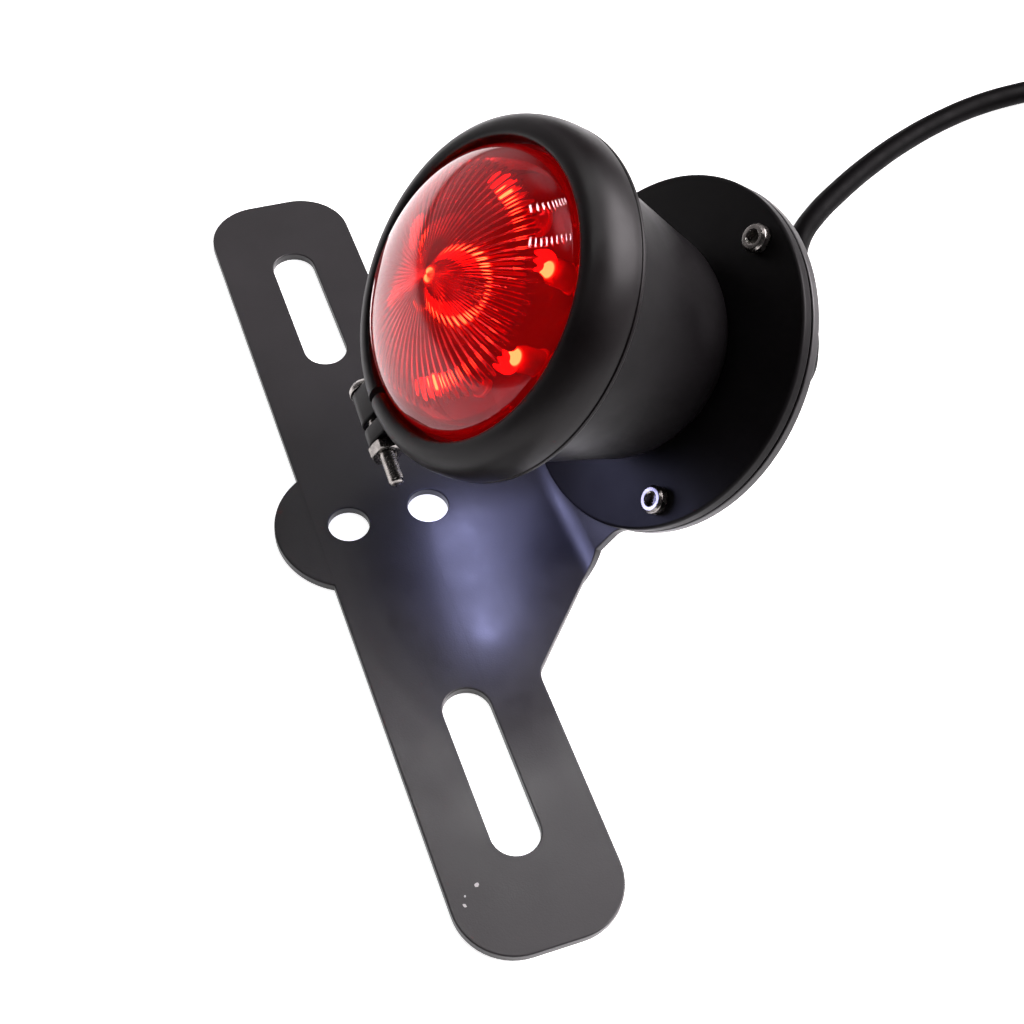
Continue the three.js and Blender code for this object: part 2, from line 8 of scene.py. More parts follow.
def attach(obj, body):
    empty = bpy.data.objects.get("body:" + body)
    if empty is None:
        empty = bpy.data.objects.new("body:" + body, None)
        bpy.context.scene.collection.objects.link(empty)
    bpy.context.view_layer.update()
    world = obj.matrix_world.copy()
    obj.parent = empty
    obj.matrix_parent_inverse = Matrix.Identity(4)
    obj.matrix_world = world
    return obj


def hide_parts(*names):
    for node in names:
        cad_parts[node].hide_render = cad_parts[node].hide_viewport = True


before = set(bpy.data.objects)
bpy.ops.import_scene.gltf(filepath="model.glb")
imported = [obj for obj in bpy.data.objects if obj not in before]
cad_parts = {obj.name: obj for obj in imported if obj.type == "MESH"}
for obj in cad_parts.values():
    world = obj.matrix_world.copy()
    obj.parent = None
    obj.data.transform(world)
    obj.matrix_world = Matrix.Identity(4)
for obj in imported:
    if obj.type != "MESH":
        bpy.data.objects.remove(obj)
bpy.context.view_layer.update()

# The looks of a motorcycle tail light: bent steel bracket, black housing, clamped trim ring, fluted red lens,
# number plate lamp and the loose cable. Lengths are in millimetres until to_mesh() or MM makes them metres.
MM = 0.001

PLATE = 2.0  # bracket sheet
BAR_LENGTH, BAR_WIDTH, BAR_CORNER = 195.0, 32.0, 11.3
SLOT_X, SLOT_LENGTH, SLOT_WIDTH = 61.8, 35.8, 9.4
BOLT_HOLE_R, BOLT_HOLE_Y = 4.2, (-8.9, 8.1)
BULGE_R, BULGE_Y = 16.0, -8.0
WEB_FOOT_X, WEB_TOP_X, WEB_FILLET = 45.0, 23.0, 5.0
NECK_X, NECK_FLARE = 22.2, 5.0
BEND_Y, BEND_ANGLE, BEND_INNER_R = 36.0, math.radians(55), 5.0
DISC_R, DISC_DISTANCE = 36.0, 39.1
HEAD_DROP = 0.5
FLANGE_BACK, FLANGE_FRONT, FLOOR_Z = 2.3, 4.9, 5.2
RIM_BACK, RIM_FRONT, RIM_R, WALL_RIM_R = 43.5, 46.5, 32.0, 29.8
WALL_FOOT_Z, WALL_FOOT_R, WALL = 16.0, 23.7, 1.8
SCREW_CIRCLE, SCREW_ANGLES = 30.7, (90, 210, 330)
CABLE_HOLE_R = 4.6
RING_R, RING_FRONT, RING_OPENING_R, RING_SHOULDER = 33.6, 55.1, 27.7, 50.2
LENS_FLANGE_R, LENS_R, LENS_EDGE, LENS_TOP, LENS_WALL = 31.2, 26.7, 53.6, 65.0, 2.4
LENS_ROOF = 1.5  # thickness at the middle
LENS_FULLNESS = 0.63  # 0.5 is a half ellipse, 1 a paraboloid
CLAMP, CLAMP_TILT = (-1.2, -37.04, 48.3), math.radians(-2.6)
CLAMP_GAP, HEAD_EAR, NUT_EAR, EAR_WIDTH, CLAMP_TIP = 1.6, 8.3, 4.5, 5.6, 13.9
BOARD_BACK, BOARD, BOARD_R = 40.6, 1.6, 26.8
BOSS_CIRCLE, LED_CIRCLE, LED_R, LED_HEIGHT = 23.0, 16.0, 2.5, 7.8
WINDOW_HALF, WINDOW_Z, WHITE_LED_PITCH = 17.0, (24.0, 36.0), 11.0
CABLE_R = 2.8
COIL_CENTRE, TURN_R = (-53.7, 238.0), (28.0, 33.8)

LAMP = Matrix.Translation(
    (0, BEND_Y + DISC_DISTANCE * math.cos(BEND_ANGLE), DISC_DISTANCE * math.sin(BEND_ANGLE))
) @ Matrix.Rotation(BEND_ANGLE, 4, "X")
HEAD = LAMP @ Matrix.Translation((0, -HEAD_DROP, 0))
CLAMP_PLACE = HEAD @ Matrix.Translation(CLAMP) @ Matrix.Rotation(CLAMP_TILT, 4, "Z")
SCREW_AXIS = CLAMP_PLACE @ Matrix.Rotation(-math.pi / 2, 4, "Y")  # z runs to the clamp screw's head


# ---- camera ----
def make_camera():
    right = Vector((0.34111, 0.93707, 0.07444))
    up = Vector((-0.75966, 0.22816, 0.60898))
    data = bpy.data.cameras.new("camera")
    data.sensor_width = 36
    data.lens = 55.84
    data.clip_start = 0.01
    camera = bpy.data.objects.new("camera", data)
    camera.matrix_world = Matrix((right, up, right.cross(up))).transposed().to_4x4()
    camera.location = (0.189185, -0.062879, 0.262188)
    bpy.context.scene.collection.objects.link(camera)
    bpy.context.scene.camera = camera


# ---- mesh helpers ----
def link(name, data):
    made = bpy.data.objects.new(name, data)
    bpy.context.scene.collection.objects.link(made)
    return made


def on_circle(radius, degrees):
    a = math.radians(degrees)
    return radius * math.cos(a), radius * math.sin(a)


def fillet(corners, steps=5):
    """Rounds a chain of (x, y, radius) corners with arcs. The chain is open, and its ends stay as they are."""
    out = [tuple(corners[0][:2])]
    for before, (x, y, radius), after in zip(corners, corners[1:], corners[2:]):
        here = Vector((x, y))
        a = (Vector(before[:2]) - here).normalized()
        b = (Vector(after[:2]) - here).normalized()
        half = a.angle(b) / 2
        if radius <= 0 or math.pi / 2 - half < 1e-3:
            out.append((x, y))
            continue
        centre = here + (a + b).normalized() * (radius / math.sin(half))
        start = here + a * (radius / math.tan(half)) - centre
        end = here + b * (radius / math.tan(half)) - centre
        turn = start.angle_signed(end)
        for i in range(steps + 1):
            spoke = start.copy()
            spoke.rotate(Matrix.Rotation(-turn * i / steps, 2))
            out.append(tuple(centre + spoke))
    out.append(tuple(corners[-1][:2]))
    return out


def smooth_line(points, steps=4):
    """A Catmull-Rom line through 2D points."""
    padded = [points[0], *points, points[-1]]
    out = []
    for p0, p1, p2, p3 in zip(padded, padded[1:], padded[2:], padded[3:]):
        for i in range(steps):
            t = i / steps
            out.append(tuple(
                0.5 * (2 * b + (c - a) * t + (2 * a - 5 * b + 4 * c - d) * t**2 + (3 * b - a - 3 * c + d) * t**3)
                for a, b, c, d in zip(p0, p1, p2, p3)
            ))
    out.append(tuple(points[-1]))
    return out


def revolve(profile, segments, shift=None):
    """A mesh turned round Z from (radius, height) points, with a pole where it starts or ends at radius 0.
    Otherwise it closes on itself. shift(radius, height) moves a ring along -Y."""
    mesh = bmesh.new()
    rings = []
    for radius, height in profile:
        drop = shift(radius, height) if shift else 0
        if radius < 1e-6:
            rings.append([mesh.verts.new((0, -drop, height))])
            continue
        angles = [2 * math.pi * i / segments for i in range(segments)]
        rings.append([
            mesh.verts.new((radius * math.cos(a), radius * math.sin(a) - drop, height)) for a in angles
        ])
    pairs = list(zip(rings, rings[1:]))
    if profile[0][0] > 1e-6:
        pairs.append((rings[-1], rings[0]))
    for low, high in pairs:
        for i in range(segments):
            j = (i + 1) % segments
            corners = [low[i % len(low)], low[j % len(low)], high[j % len(high)], high[i % len(high)]]
            face = list(dict.fromkeys(corners))
            if len(face) > 2:
                mesh.faces.new(face)
    bmesh.ops.recalc_face_normals(mesh, faces=mesh.faces)
    return mesh


def to_mesh(name, made, place=None):
    """Turns a bmesh in millimetres into an object in metres, at its place in the part's frame."""
    made.transform(Matrix.Scale(MM, 4) @ (place or Matrix.Identity(4)))
    data = bpy.data.meshes.new(name)
    made.to_mesh(data)
    made.free()
    return link(name, data)


def shade(piece, degrees=35):
    piece.data.shade_smooth()
    piece.data.set_sharp_from_angle(angle=math.radians(degrees))


def weigh_normals(piece):
    modifier = piece.modifiers.new("weighted", "WEIGHTED_NORMAL")
    modifier.keep_sharp = True
    modifier.weight = 80
    apply_modifiers(piece)


def apply_modifiers(piece):
    bpy.context.view_layer.objects.active = piece
    for modifier in list(piece.modifiers):
        bpy.ops.object.modifier_apply(modifier=modifier.name)


def combine(piece, tool, operation):
    modifier = piece.modifiers.new(operation, "BOOLEAN")
    modifier.operation = operation
    modifier.solver = "EXACT"
    modifier.object = tool
    apply_modifiers(piece)
    bpy.data.objects.remove(tool)


def outline(name, loops, thickness, edge, steps=3):
    """A flat piece of the given thickness from closed (x, y) loops, the first outside, with rounded edges.
    It lies between z = 0 and z = thickness, in millimetres."""
    data = bpy.data.curves.new(name, "CURVE")
    data.dimensions = "2D"
    data.fill_mode = "BOTH"
    data.extrude = thickness / 2 - edge
    data.bevel_depth = edge
    data.bevel_resolution = steps
    data.offset = -edge
    for loop in loops:
        spline = data.splines.new("POLY")
        spline.points.add(len(loop) - 1)
        for point, (x, y) in zip(spline.points, loop):
            point.co = (x, y, 0, 1)
        spline.use_cyclic_u = True
    holder = link(name, data)
    bpy.context.view_layer.update()
    flat = bmesh.new()
    flat.from_mesh(holder.to_mesh())
    holder.to_mesh_clear()
    bpy.data.objects.remove(holder)
    bmesh.ops.remove_doubles(flat, verts=flat.verts, dist=1e-4)
    bmesh.ops.translate(flat, verts=flat.verts, vec=(0, 0, thickness / 2))
    bmesh.ops.recalc_face_normals(flat, faces=flat.faces)
    return flat


def finish_piece(piece, material, body, slot, *nodes):
    piece.data.materials.clear()
    piece.data.materials.append(material)
    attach(piece, body)
    if nodes:
        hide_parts(*nodes)
    return piece


# ---- material helpers ----
def new_material(name):
    material = bpy.data.materials.new(name)
    material.use_nodes = True
    tree = material.node_tree
    return material, tree, tree.nodes["Principled BSDF"]


def node(tree, kind, **settings):
    made = tree.nodes.new(kind)
    for key, value in settings.items():
        if key in made.inputs:
            made.inputs[key].default_value = value
        else:
            setattr(made, key, value)
    return made


def object_coordinates(tree):
    return node(tree, "ShaderNodeTexCoord").outputs["Object"]


def noise(tree, scale, detail=2.0, roughness=0.5, at=None):
    made = node(tree, "ShaderNodeTexNoise", Scale=scale, Detail=detail, Roughness=roughness)
    tree.links.new(at or object_coordinates(tree), made.inputs["Vector"])
    return made.outputs["Fac"]


def ramp(tree, source, stops):
    made = tree.nodes.new("ShaderNodeValToRGB")
    elements = made.color_ramp.elements
    while len(elements) < len(stops):
        elements.new(0.5)
    for element, (position, colour) in zip(elements, stops):
        element.position = position
        element.color = (*colour, 1) if len(colour) == 3 else colour
    tree.links.new(source, made.inputs["Fac"])
    return made.outputs["Color"]


def grey(value):
    return (value, value, value)


def bump(tree, shader, source, strength, distance_mm):
    made = node(tree, "ShaderNodeBump", Strength=strength, Distance=distance_mm * MM)
    tree.links.new(source, made.inputs["Height"])
    tree.links.new(made.outputs["Normal"], shader.inputs["Normal"])
    return made


def paint(name, colour, roughness, grain_mm, grain, specular=0.5, coat=0.0, chips=()):
    """Black paint with fine orange peel and small roughness changes.
    chips are (x, y, z, radius) in millimetres."""
    material, tree, shader = new_material(name)
    shader.inputs["Specular IOR Level"].default_value = specular
    shader.inputs["Coat Weight"].default_value = coat
    shader.inputs["Coat Roughness"].default_value = 0.08
    blotch = noise(tree, 60, 3)
    darker = tuple(c * 0.82 for c in colour)
    lighter = tuple(c * 1.2 for c in colour)
    base = ramp(tree, blotch, [(0.3, darker), (0.7, lighter)])
    rough = ramp(tree, noise(tree, 140, 4), [(0.3, grey(roughness - 0.05)), (0.7, grey(roughness + 0.06))])
    for x, y, z, radius in chips:
        base, rough = chipped(tree, base, rough, (x, y, z), radius)
    tree.links.new(base, shader.inputs["Base Color"])
    tree.links.new(rough, shader.inputs["Roughness"])
    peel = bump(tree, shader, noise(tree, 1000 / grain_mm, 2), grain, 0.02)
    tree.links.new(peel.outputs["Normal"], shader.inputs["Coat Normal"])
    return material


def chipped(tree, base, rough, place, radius):
    """Mixes bright ragged metal into a colour and a roughness near one point."""
    distance = node(tree, "ShaderNodeVectorMath", operation="DISTANCE")
    tree.links.new(object_coordinates(tree), distance.inputs[0])
    distance.inputs[1].default_value = Vector(place) * MM
    ragged = node(tree, "ShaderNodeMath", operation="MULTIPLY_ADD")
    tree.links.new(noise(tree, 1500, 3), ragged.inputs[0])
    ragged.inputs[1].default_value = radius * MM * 1.6
    tree.links.new(distance.outputs["Value"], ragged.inputs[2])
    inside = node(tree, "ShaderNodeMath", operation="LESS_THAN")
    tree.links.new(ragged.outputs[0], inside.inputs[0])
    inside.inputs[1].default_value = radius * MM * 1.6
    colour = node(tree, "ShaderNodeMix", data_type="RGBA")
    tree.links.new(inside.outputs[0], colour.inputs["Factor"])
    tree.links.new(base, colour.inputs[6])
    colour.inputs[7].default_value = (0.3, 0.29, 0.29, 1)
    matt = node(tree, "ShaderNodeMix", data_type="RGBA")
    tree.links.new(inside.outputs[0], matt.inputs["Factor"])
    tree.links.new(rough, matt.inputs[6])
    matt.inputs[7].default_value = (0.35, 0.35, 0.35, 1)
    return colour.outputs[2], matt.outputs[2]


def steel(name, roughness=0.24):
    material, tree, shader = new_material(name)
    shader.inputs["Metallic"].default_value = 1.0
    tone = ramp(tree, noise(tree, 500, 3), [(0.3, (0.2, 0.19, 0.18)), (0.7, (0.34, 0.32, 0.3))])
    tree.links.new(tone, shader.inputs["Base Color"])
    rough = ramp(tree, noise(tree, 900, 4), [(0.3, grey(roughness - 0.08)), (0.7, grey(roughness + 0.12))])
    tree.links.new(rough, shader.inputs["Roughness"])
    bump(tree, shader, noise(tree, 2500, 2), 0.05, 0.01)
    return material


def plastic(name, colour, roughness, grain=0.3, scale=900, metallic=0.0):
    """Moulded plastic or rubber with a fine grain and small colour changes."""
    material, tree, shader = new_material(name)
    shader.inputs["Metallic"].default_value = metallic
    darker = tuple(c * 0.8 for c in colour)
    lighter = tuple(min(1, c * 1.15) for c in colour)
    base = ramp(tree, noise(tree, 90, 3), [(0.3, darker), (0.7, lighter)])
    tree.links.new(base, shader.inputs["Base Color"])
    rough = ramp(tree, noise(tree, 220, 3), [(0.3, grey(roughness - 0.06)), (0.7, grey(roughness + 0.08))])
    tree.links.new(rough, shader.inputs["Roughness"])
    bump(tree, shader, noise(tree, scale, 2), grain, 0.02)
    return material


def red_glass():
    """Clear red moulded lens, a little uneven inside and with a few fine specks on it."""
    material, tree, shader = new_material("lens_red")
    tint = ramp(tree, noise(tree, 45, 2), [(0.3, (0.82, 0.016, 0.02)), (0.7, (0.92, 0.024, 0.03))])
    tree.links.new(tint, shader.inputs["Base Color"])
    shader.inputs["Transmission Weight"].default_value = 0.98
    shader.inputs["IOR"].default_value = 1.5
    shader.inputs["Specular IOR Level"].default_value = 0.16
    shader.inputs["Specular Tint"].default_value = (0.75, 0.38, 0.42, 1)
    # A faint red glow over the whole lens: painted light standing in for the lamps' light scattered inside it.
    shader.inputs["Emission Color"].default_value = (1, 0.005, 0.012, 1)
    shader.inputs["Emission Strength"].default_value = 0.035
    rough = ramp(tree, noise(tree, 700, 3), [(0.4, grey(0.015)), (0.75, grey(0.06))])
    tree.links.new(rough, shader.inputs["Roughness"])
    return material


def clear_plastic():
    material, tree, shader = new_material("window_clear")
    tint = ramp(tree, noise(tree, 80, 2), [(0.3, (0.78, 0.82, 0.86)), (0.7, (0.88, 0.9, 0.93))])
    tree.links.new(tint, shader.inputs["Base Color"])
    shader.inputs["Alpha"].default_value = 0.4
    rough = ramp(tree, noise(tree, 600, 3), [(0.4, grey(0.12)), (0.75, grey(0.25))])
    tree.links.new(rough, shader.inputs["Roughness"])
    return material


def lit(name, body, core, strength, falloff=4.0):
    """A lit lamp. Light comes from all of it, and much more from the core near its tip."""
    material, tree, shader = new_material(name)
    shader.inputs["Roughness"].default_value = 0.2
    weave = ramp(tree, noise(tree, 400, 2), [(0.3, tuple(c * 0.8 for c in body)), (0.7, body)])
    tree.links.new(weave, shader.inputs["Base Color"])
    height = node(tree, "ShaderNodeAttribute", attribute_name="glow")
    colour = ramp(tree, height.outputs["Fac"], [(0.5, body), (0.9, core)])
    tree.links.new(colour, shader.inputs["Emission Color"])
    rise = node(tree, "ShaderNodeMath", operation="POWER")
    tree.links.new(height.outputs["Fac"], rise.inputs[0])
    rise.inputs[1].default_value = falloff
    power = node(tree, "ShaderNodeMath", operation="MULTIPLY")
    tree.links.new(rise.outputs[0], power.inputs[0])
    power.inputs[1].default_value = strength
    tree.links.new(power.outputs[0], shader.inputs["Emission Strength"])
    return material


# ---- cable ----
CABLE_ROUTE = [
    (0, 76.78, 19.18), (0, 79.72, 17.12), (-0.9, 86, 13.2), (-4, 92.9, 9.3), (-8.8, 98.6, 6.4),
    (-15.2, 103.3, 4.6), (-22.3, 107, 3.5), (-30, 109.9, 3), (-37.9, 112.6, 2.8), (-45.4, 115.9, 2.8),
    (-51.8, 120.4, 2.8), (-57.5, 126.9, 2.8), (-65, 138.4, 2.8), (-71.8, 150.8, 2.8), (-77.8, 164, 2.8),
    (-82.8, 178.4, 2.8), (-86, 192.4, 2.8), (-87.3, 206, 2.8), (-87.5, 217.8, 2.8),
]


def coil_radius(swept):
    """The cable's distance from the coil's centre after some degrees: two turns, then a little of a third,
    each a cable's width inside the last."""
    def step(start, length=128):
        t = min(max((swept - start) / length, 0), 1)
        return t * t * (3 - 2 * t)
    gap = TURN_R[1] - TURN_R[0]
    return TURN_R[1] - gap * (step(232) + step(592)) - 0.9 * step(640, 134)


def coil_points():
    out = []
    for swept in range(0, 775, 15):
        x, y = on_circle(coil_radius(swept), 180 - swept)
        rise = 0.5 * min(max((swept - 700) / 60, 0), 1)
        out.append((COIL_CENTRE[0] + x, COIL_CENTRE[1] + y, CABLE_R + rise))
    return out


def make_cable(material):
    data = bpy.data.curves.new("cable", "CURVE")
    data.dimensions = "3D"
    data.bevel_depth = CABLE_R * MM
    data.bevel_resolution = 6
    data.resolution_u = 6
    data.use_fill_caps = True
    route = CABLE_ROUTE + coil_points()
    spline = data.splines.new("BEZIER")
    spline.bezier_points.add(len(route) - 1)
    for point, place in zip(spline.bezier_points, route):
        point.co = Vector(place) * MM
        point.handle_left_type = point.handle_right_type = "AUTO"
    cable = link("free_cable", data)
    return finish_piece(cable, material, "base", "cable_sheath", "cable", "cable_coil")


def arc(cx, cy, radius, start, end, steps=10):
    """Points of an arc between two angles in degrees."""
    out = []
    for i in range(steps + 1):
        x, y = on_circle(radius, start + (end - start) * i / steps)
        out.append((cx + x, cy + y))
    return out


def circle(cx, cy, radius, steps=48):
    return arc(cx, cy, radius, 0, 360, steps)[:-1]


def make_tube(name, points, radius, place=None, taper=None):
    """A round tube through points in millimetres. taper gives its radius factor at each point."""
    data = bpy.data.curves.new(name, "CURVE")
    data.dimensions = "3D"
    data.bevel_depth = radius * MM
    data.bevel_resolution = 4
    data.resolution_u = 8
    data.use_fill_caps = True
    spline = data.splines.new("BEZIER")
    spline.bezier_points.add(len(points) - 1)
    for i, (point, at) in enumerate(zip(spline.bezier_points, points)):
        point.co = (place or Matrix.Identity(4)) @ Vector(at) * MM
        point.handle_left_type = point.handle_right_type = "AUTO"
        point.radius = taper[i] if taper else 1
    return link(name, data)


def box_mesh(size, centre=(0, 0, 0), edge=0.0):
    made = bmesh.new()
    bmesh.ops.create_cube(made, size=1, matrix=Matrix.Translation(centre) @ Matrix.Diagonal((*size, 1)))
    if edge:
        bmesh.ops.bevel(made, geom=made.edges[:], offset=edge, segments=3, profile=0.5, affect="EDGES")
    return made


def merge(*meshes):
    """Several bmeshes in one."""
    out = bmesh.new()
    for made in meshes:
        data = bpy.data.meshes.new("part")
        made.to_mesh(data)
        made.free()
        out.from_mesh(data)
        bpy.data.meshes.remove(data)
    return out


def moved(made, *matrices):
    for matrix in matrices:
        made.transform(matrix)
    return made


# ---- bracket ----
SETBACK = (BEND_INNER_R + PLATE) * math.tan(BEND_ANGLE / 2)
FLAT_END = BEND_Y - SETBACK
NECK_END = SETBACK - DISC_DISTANCE
BEND_LENGTH = (BEND_INNER_R + PLATE / 2) * BEND_ANGLE  # of the middle of the sheet
EDGE = 0.3  # rounding of the sheet's edges


def sheet_side():
    """The right-hand edge of the unfolded sheet, from the bulge's start to the disc's top."""
    x, y, c = BAR_LENGTH / 2, BAR_WIDTH / 2, BAR_CORNER
    slope = (WEB_FOOT_X - WEB_TOP_X) / (BEND_Y - y)
    lean = math.degrees(math.atan2(1, slope))
    run = WEB_FILLET * math.tan(math.radians(lean) / 2)
    disc_y = FLAT_END + BEND_LENGTH - NECK_END  # middle of the disc on the unfolded sheet
    far = DISC_R + NECK_FLARE
    flare_y = -math.sqrt(far**2 - (NECK_X + NECK_FLARE) ** 2)
    turn = math.degrees(math.atan2(-flare_y, NECK_X + NECK_FLARE))
    return [
        *arc(0, BULGE_Y, BULGE_R, -90, math.degrees(math.asin((-y - BULGE_Y) / BULGE_R)), 14),
        *arc(x - c, -y + c, c, -90, 0, 14),
        *arc(x - c, y - c, c, 0, 90, 14),
        *arc(WEB_FOOT_X + run, y + WEB_FILLET, WEB_FILLET, 270, 270 - lean, 8),
        (WEB_TOP_X + slope * SETBACK, FLAT_END),
        (NECK_X, FLAT_END + BEND_LENGTH),
        *arc(NECK_X + NECK_FLARE, disc_y + flare_y, NECK_FLARE, 180, 180 - turn, 8),
        *arc(0, disc_y, DISC_R, -turn, 90, 60),
    ]


def sheet_loops():
    right = sheet_side()
    loops = [right[:-1] + [(-x, y) for x, y in reversed(right)][:-1]]
    r = SLOT_WIDTH / 2
    half = SLOT_LENGTH / 2 - r
    for side in (-1, 1):
        x = side * SLOT_X
        loops.append(arc(x + half, 0, r, -90, 90, 16) + arc(x - half, 0, r, 90, 270, 16))
    loops += [circle(0, y, BOLT_HOLE_R) for y in BOLT_HOLE_Y]
    disc_y = FLAT_END + BEND_LENGTH - NECK_END
    loops.append(circle(0, disc_y, CABLE_HOLE_R))
    for angle in SCREW_ANGLES:
        x, y = on_circle(SCREW_CIRCLE, angle)
        loops.append(circle(x, disc_y + y, 1.8, 24))
    return loops


def fold(point):
    """Moves a point of the unfolded sheet to its place on the bent one."""
    x, y, z = point
    along = y - FLAT_END
    if along <= 0:
        return Vector(point)
    if along < BEND_LENGTH:
        turned = BEND_ANGLE * along / BEND_LENGTH
        reach = BEND_INNER_R + PLATE - z
        y = FLAT_END + reach * math.sin(turned)
        return Vector((x, y, BEND_INNER_R + PLATE - reach * math.cos(turned)))
    return LAMP @ Vector((x, NECK_END + along - BEND_LENGTH, z))


def make_bracket(material):
    flat = outline("sheet", sheet_loops(), PLATE, EDGE)
    cuts = 12
    for i in range(cuts + 1):
        y = FLAT_END + BEND_LENGTH * i / cuts
        whole = flat.verts[:] + flat.edges[:] + flat.faces[:]
        bmesh.ops.bisect_plane(flat, geom=whole, plane_co=(0, y, 0), plane_no=(0, 1, 0), dist=1e-5)
    for vertex in flat.verts:
        vertex.co = fold(vertex.co)
    piece = to_mesh("bracket_sheet", flat)
    shade(piece, 30)
    weigh_normals(piece)
    finish_piece(piece, material, "base", "bracket_paint", "bracket")


# ---- housing ----
def housing_profile():
    outside = fillet([
        (0, FLANGE_BACK, 0), (DISC_R, FLANGE_BACK, 0.5), (DISC_R, FLANGE_FRONT, 0.7), (18.0, FLANGE_FRONT, 0),
        (18.4, FLANGE_FRONT, 0),
    ], 6)
    wall = smooth_line([
        (18.4, FLANGE_FRONT), (19.2, 5.5), (20.3, 6.9), (21.8, 9.3), (22.95, 12.4), (WALL_FOOT_R, WALL_FOOT_Z),
        (25.0, 22), (26.8, 30), (28.5, 38), (29.6, 42.6),
    ], 6)
    rim = fillet([
        (29.6, 42.6, 0), (WALL_RIM_R, RIM_BACK, 0.8), (RIM_R, RIM_BACK + 0.3, 0.5), (RIM_R, RIM_FRONT, 0.3),
        (28.7, RIM_FRONT, 0.3), (WALL_FOOT_R - WALL, WALL_FOOT_Z, 5), (18.6, 7.6, 3), (14.5, FLOOR_Z, 2),
        (0, FLOOR_Z, 0),
    ], 6)
    return outside[:-1] + wall[:-1] + rim[1:]


def make_housing(material):
    def drop(radius, height):
        on_bowl = height > FLANGE_FRONT + 0.01
        at_foot = height > FLANGE_FRONT - 0.01 and radius < 19
        return HEAD_DROP if on_bowl or at_foot else 0
    piece = to_mesh("housing_shell", revolve(housing_profile(), 192, drop), LAMP)
    holes = []
    for angle in SCREW_ANGLES:
        x, y = on_circle(SCREW_CIRCLE, angle)
        holes.append(moved(revolve([(0, 0), (1.8, 0), (1.8, 8), (0, 8)], 24), Matrix.Translation((x, y, 0))))
    holes.append(revolve([(0, 0), (CABLE_HOLE_R, 0), (CABLE_HOLE_R, 8), (0, 8)], 48))
    middle = sum(WINDOW_Z) / 2
    window = box_mesh((2 * WINDOW_HALF, 16, WINDOW_Z[1] - WINDOW_Z[0]), (0, -27 - HEAD_DROP, middle))
    combine(piece, to_mesh("holes", merge(*holes, window), LAMP), "DIFFERENCE")
    shade(piece, 30)
    weigh_normals(piece)
    finish_piece(piece, material, "base", "housing_paint", "housing")
    for i, angle in enumerate(SCREW_ANGLES):
        x, y = on_circle(BOSS_CIRCLE, angle)
        hollow = [(1.5, 34), (1.5, 40.3), (3, 40.3), (3, 30), (1.5, 30)]
        boss = to_mesh(f"board_boss_{i}", revolve(hollow[::-1], 32), HEAD @ Matrix.Translation((x, y, 0)))
        shade(boss)
        finish_piece(boss, material, "base", "housing_paint")


# ---- trim ring ----
EAR_REACH = 4.9  # from the screw's axis into the ring's wall


def ring_profile():
    bead = fillet([
        (RIM_R + 0.3, 47, 0), (RIM_R + 0.3, 44.3, 0.15), (33.2, 44.3, 0.3),
        (RING_R, 44.8, 0.3), (RING_R, 45.4, 0.15),
        (33.35, 45.5, 0.1), (33.35, 45.8, 0.1), (RING_R, 45.95, 0),
    ], 5)
    face = smooth_line([
        (RING_R, 45.95), (RING_R, 47.6), (33.38, 49.7), (32.9, 51.6), (32.1, 53.2), (31, 54.4), (29.8, 55),
        (28.7, RING_FRONT), (28.0, 54.85), (RING_OPENING_R, 54.2),
    ], 6)
    inside = fillet([
        (RING_OPENING_R, 54.2, 0), (RING_OPENING_R, RING_SHOULDER, 0.1), (RIM_R + 0.3, RING_SHOULDER, 0.2),
        (RIM_R + 0.3, 47.01, 0),
    ], 4)
    return bead + face[1:] + inside[1:-1]


def ear_mesh(start, end):
    """One ear of the clamp, from start to end along the screw, with the screw's hole through it."""
    half = EAR_WIDTH / 2
    loop = [(EAR_REACH, -half), (EAR_REACH, half), *arc(0, 0, half, 90, 270, 20)]
    block = outline("ear", [loop, circle(0, 0, 1.8, 32)], end - start, 0.3)
    # The outline's x becomes y, its y becomes z, and its depth runs along x.
    turn = Matrix(((0, 0, 1, start), (1, 0, 0, 0), (0, 1, 0, 0), (0, 0, 0, 1)))
    return moved(block, turn)


def make_trim_ring(material):
    piece = to_mesh("trim_ring_shell", revolve(ring_profile(), 192), HEAD)
    combine(piece, to_mesh("slit", box_mesh((CLAMP_GAP, 24, 30)), CLAMP_PLACE), "DIFFERENCE")
    shade(piece, 30)
    weigh_normals(piece)
    finish_piece(piece, material, "lens_ring", "ring_paint", "trim_ring")
    ears = (("ear_head_side", -HEAD_EAR, -CLAMP_GAP / 2), ("ear_nut_side", CLAMP_GAP / 2, NUT_EAR))
    for name, start, end in ears:
        ear = to_mesh(name, ear_mesh(start, end), CLAMP_PLACE)
        shade(ear, 30)
        finish_piece(ear, material, "lens_ring", "ring_paint")


# ---- lens ----
FLUTES = 66
FLUTE_RIM = 21.5  # the flutes fade out here, and the edge of the lens is clear


def dome(radius, edge, top, steps):
    rise = top - edge
    sphere = (radius**2 + rise**2) / (2 * rise)
    widest = math.asin(radius / sphere)
    angles = [widest * (1 - i / steps) for i in range(steps)]
    return [(sphere * math.sin(a), top - sphere + sphere * math.cos(a)) for a in angles] + [(0, top)]


def lens_dome(radius, edge, top, steps):
    """The lens's own dome, fuller than a sphere's cap, from its edge to its pole."""
    out = []
    for i in range(steps):
        t = math.sin(math.pi / 2 * (1 - i / steps))
        out.append((radius * t, edge + (top - edge) * (1 - t * t) ** LENS_FULLNESS))
    return out + [(0, top)]


def flute_depth(radius):
    """Half height of the flutes, which fade in from the middle and out before the edge."""
    inner = min(radius / 6, 1)
    outer = min(max((FLUTE_RIM - radius) / 1.2, 0), 1)
    return 0.22 * inner * outer


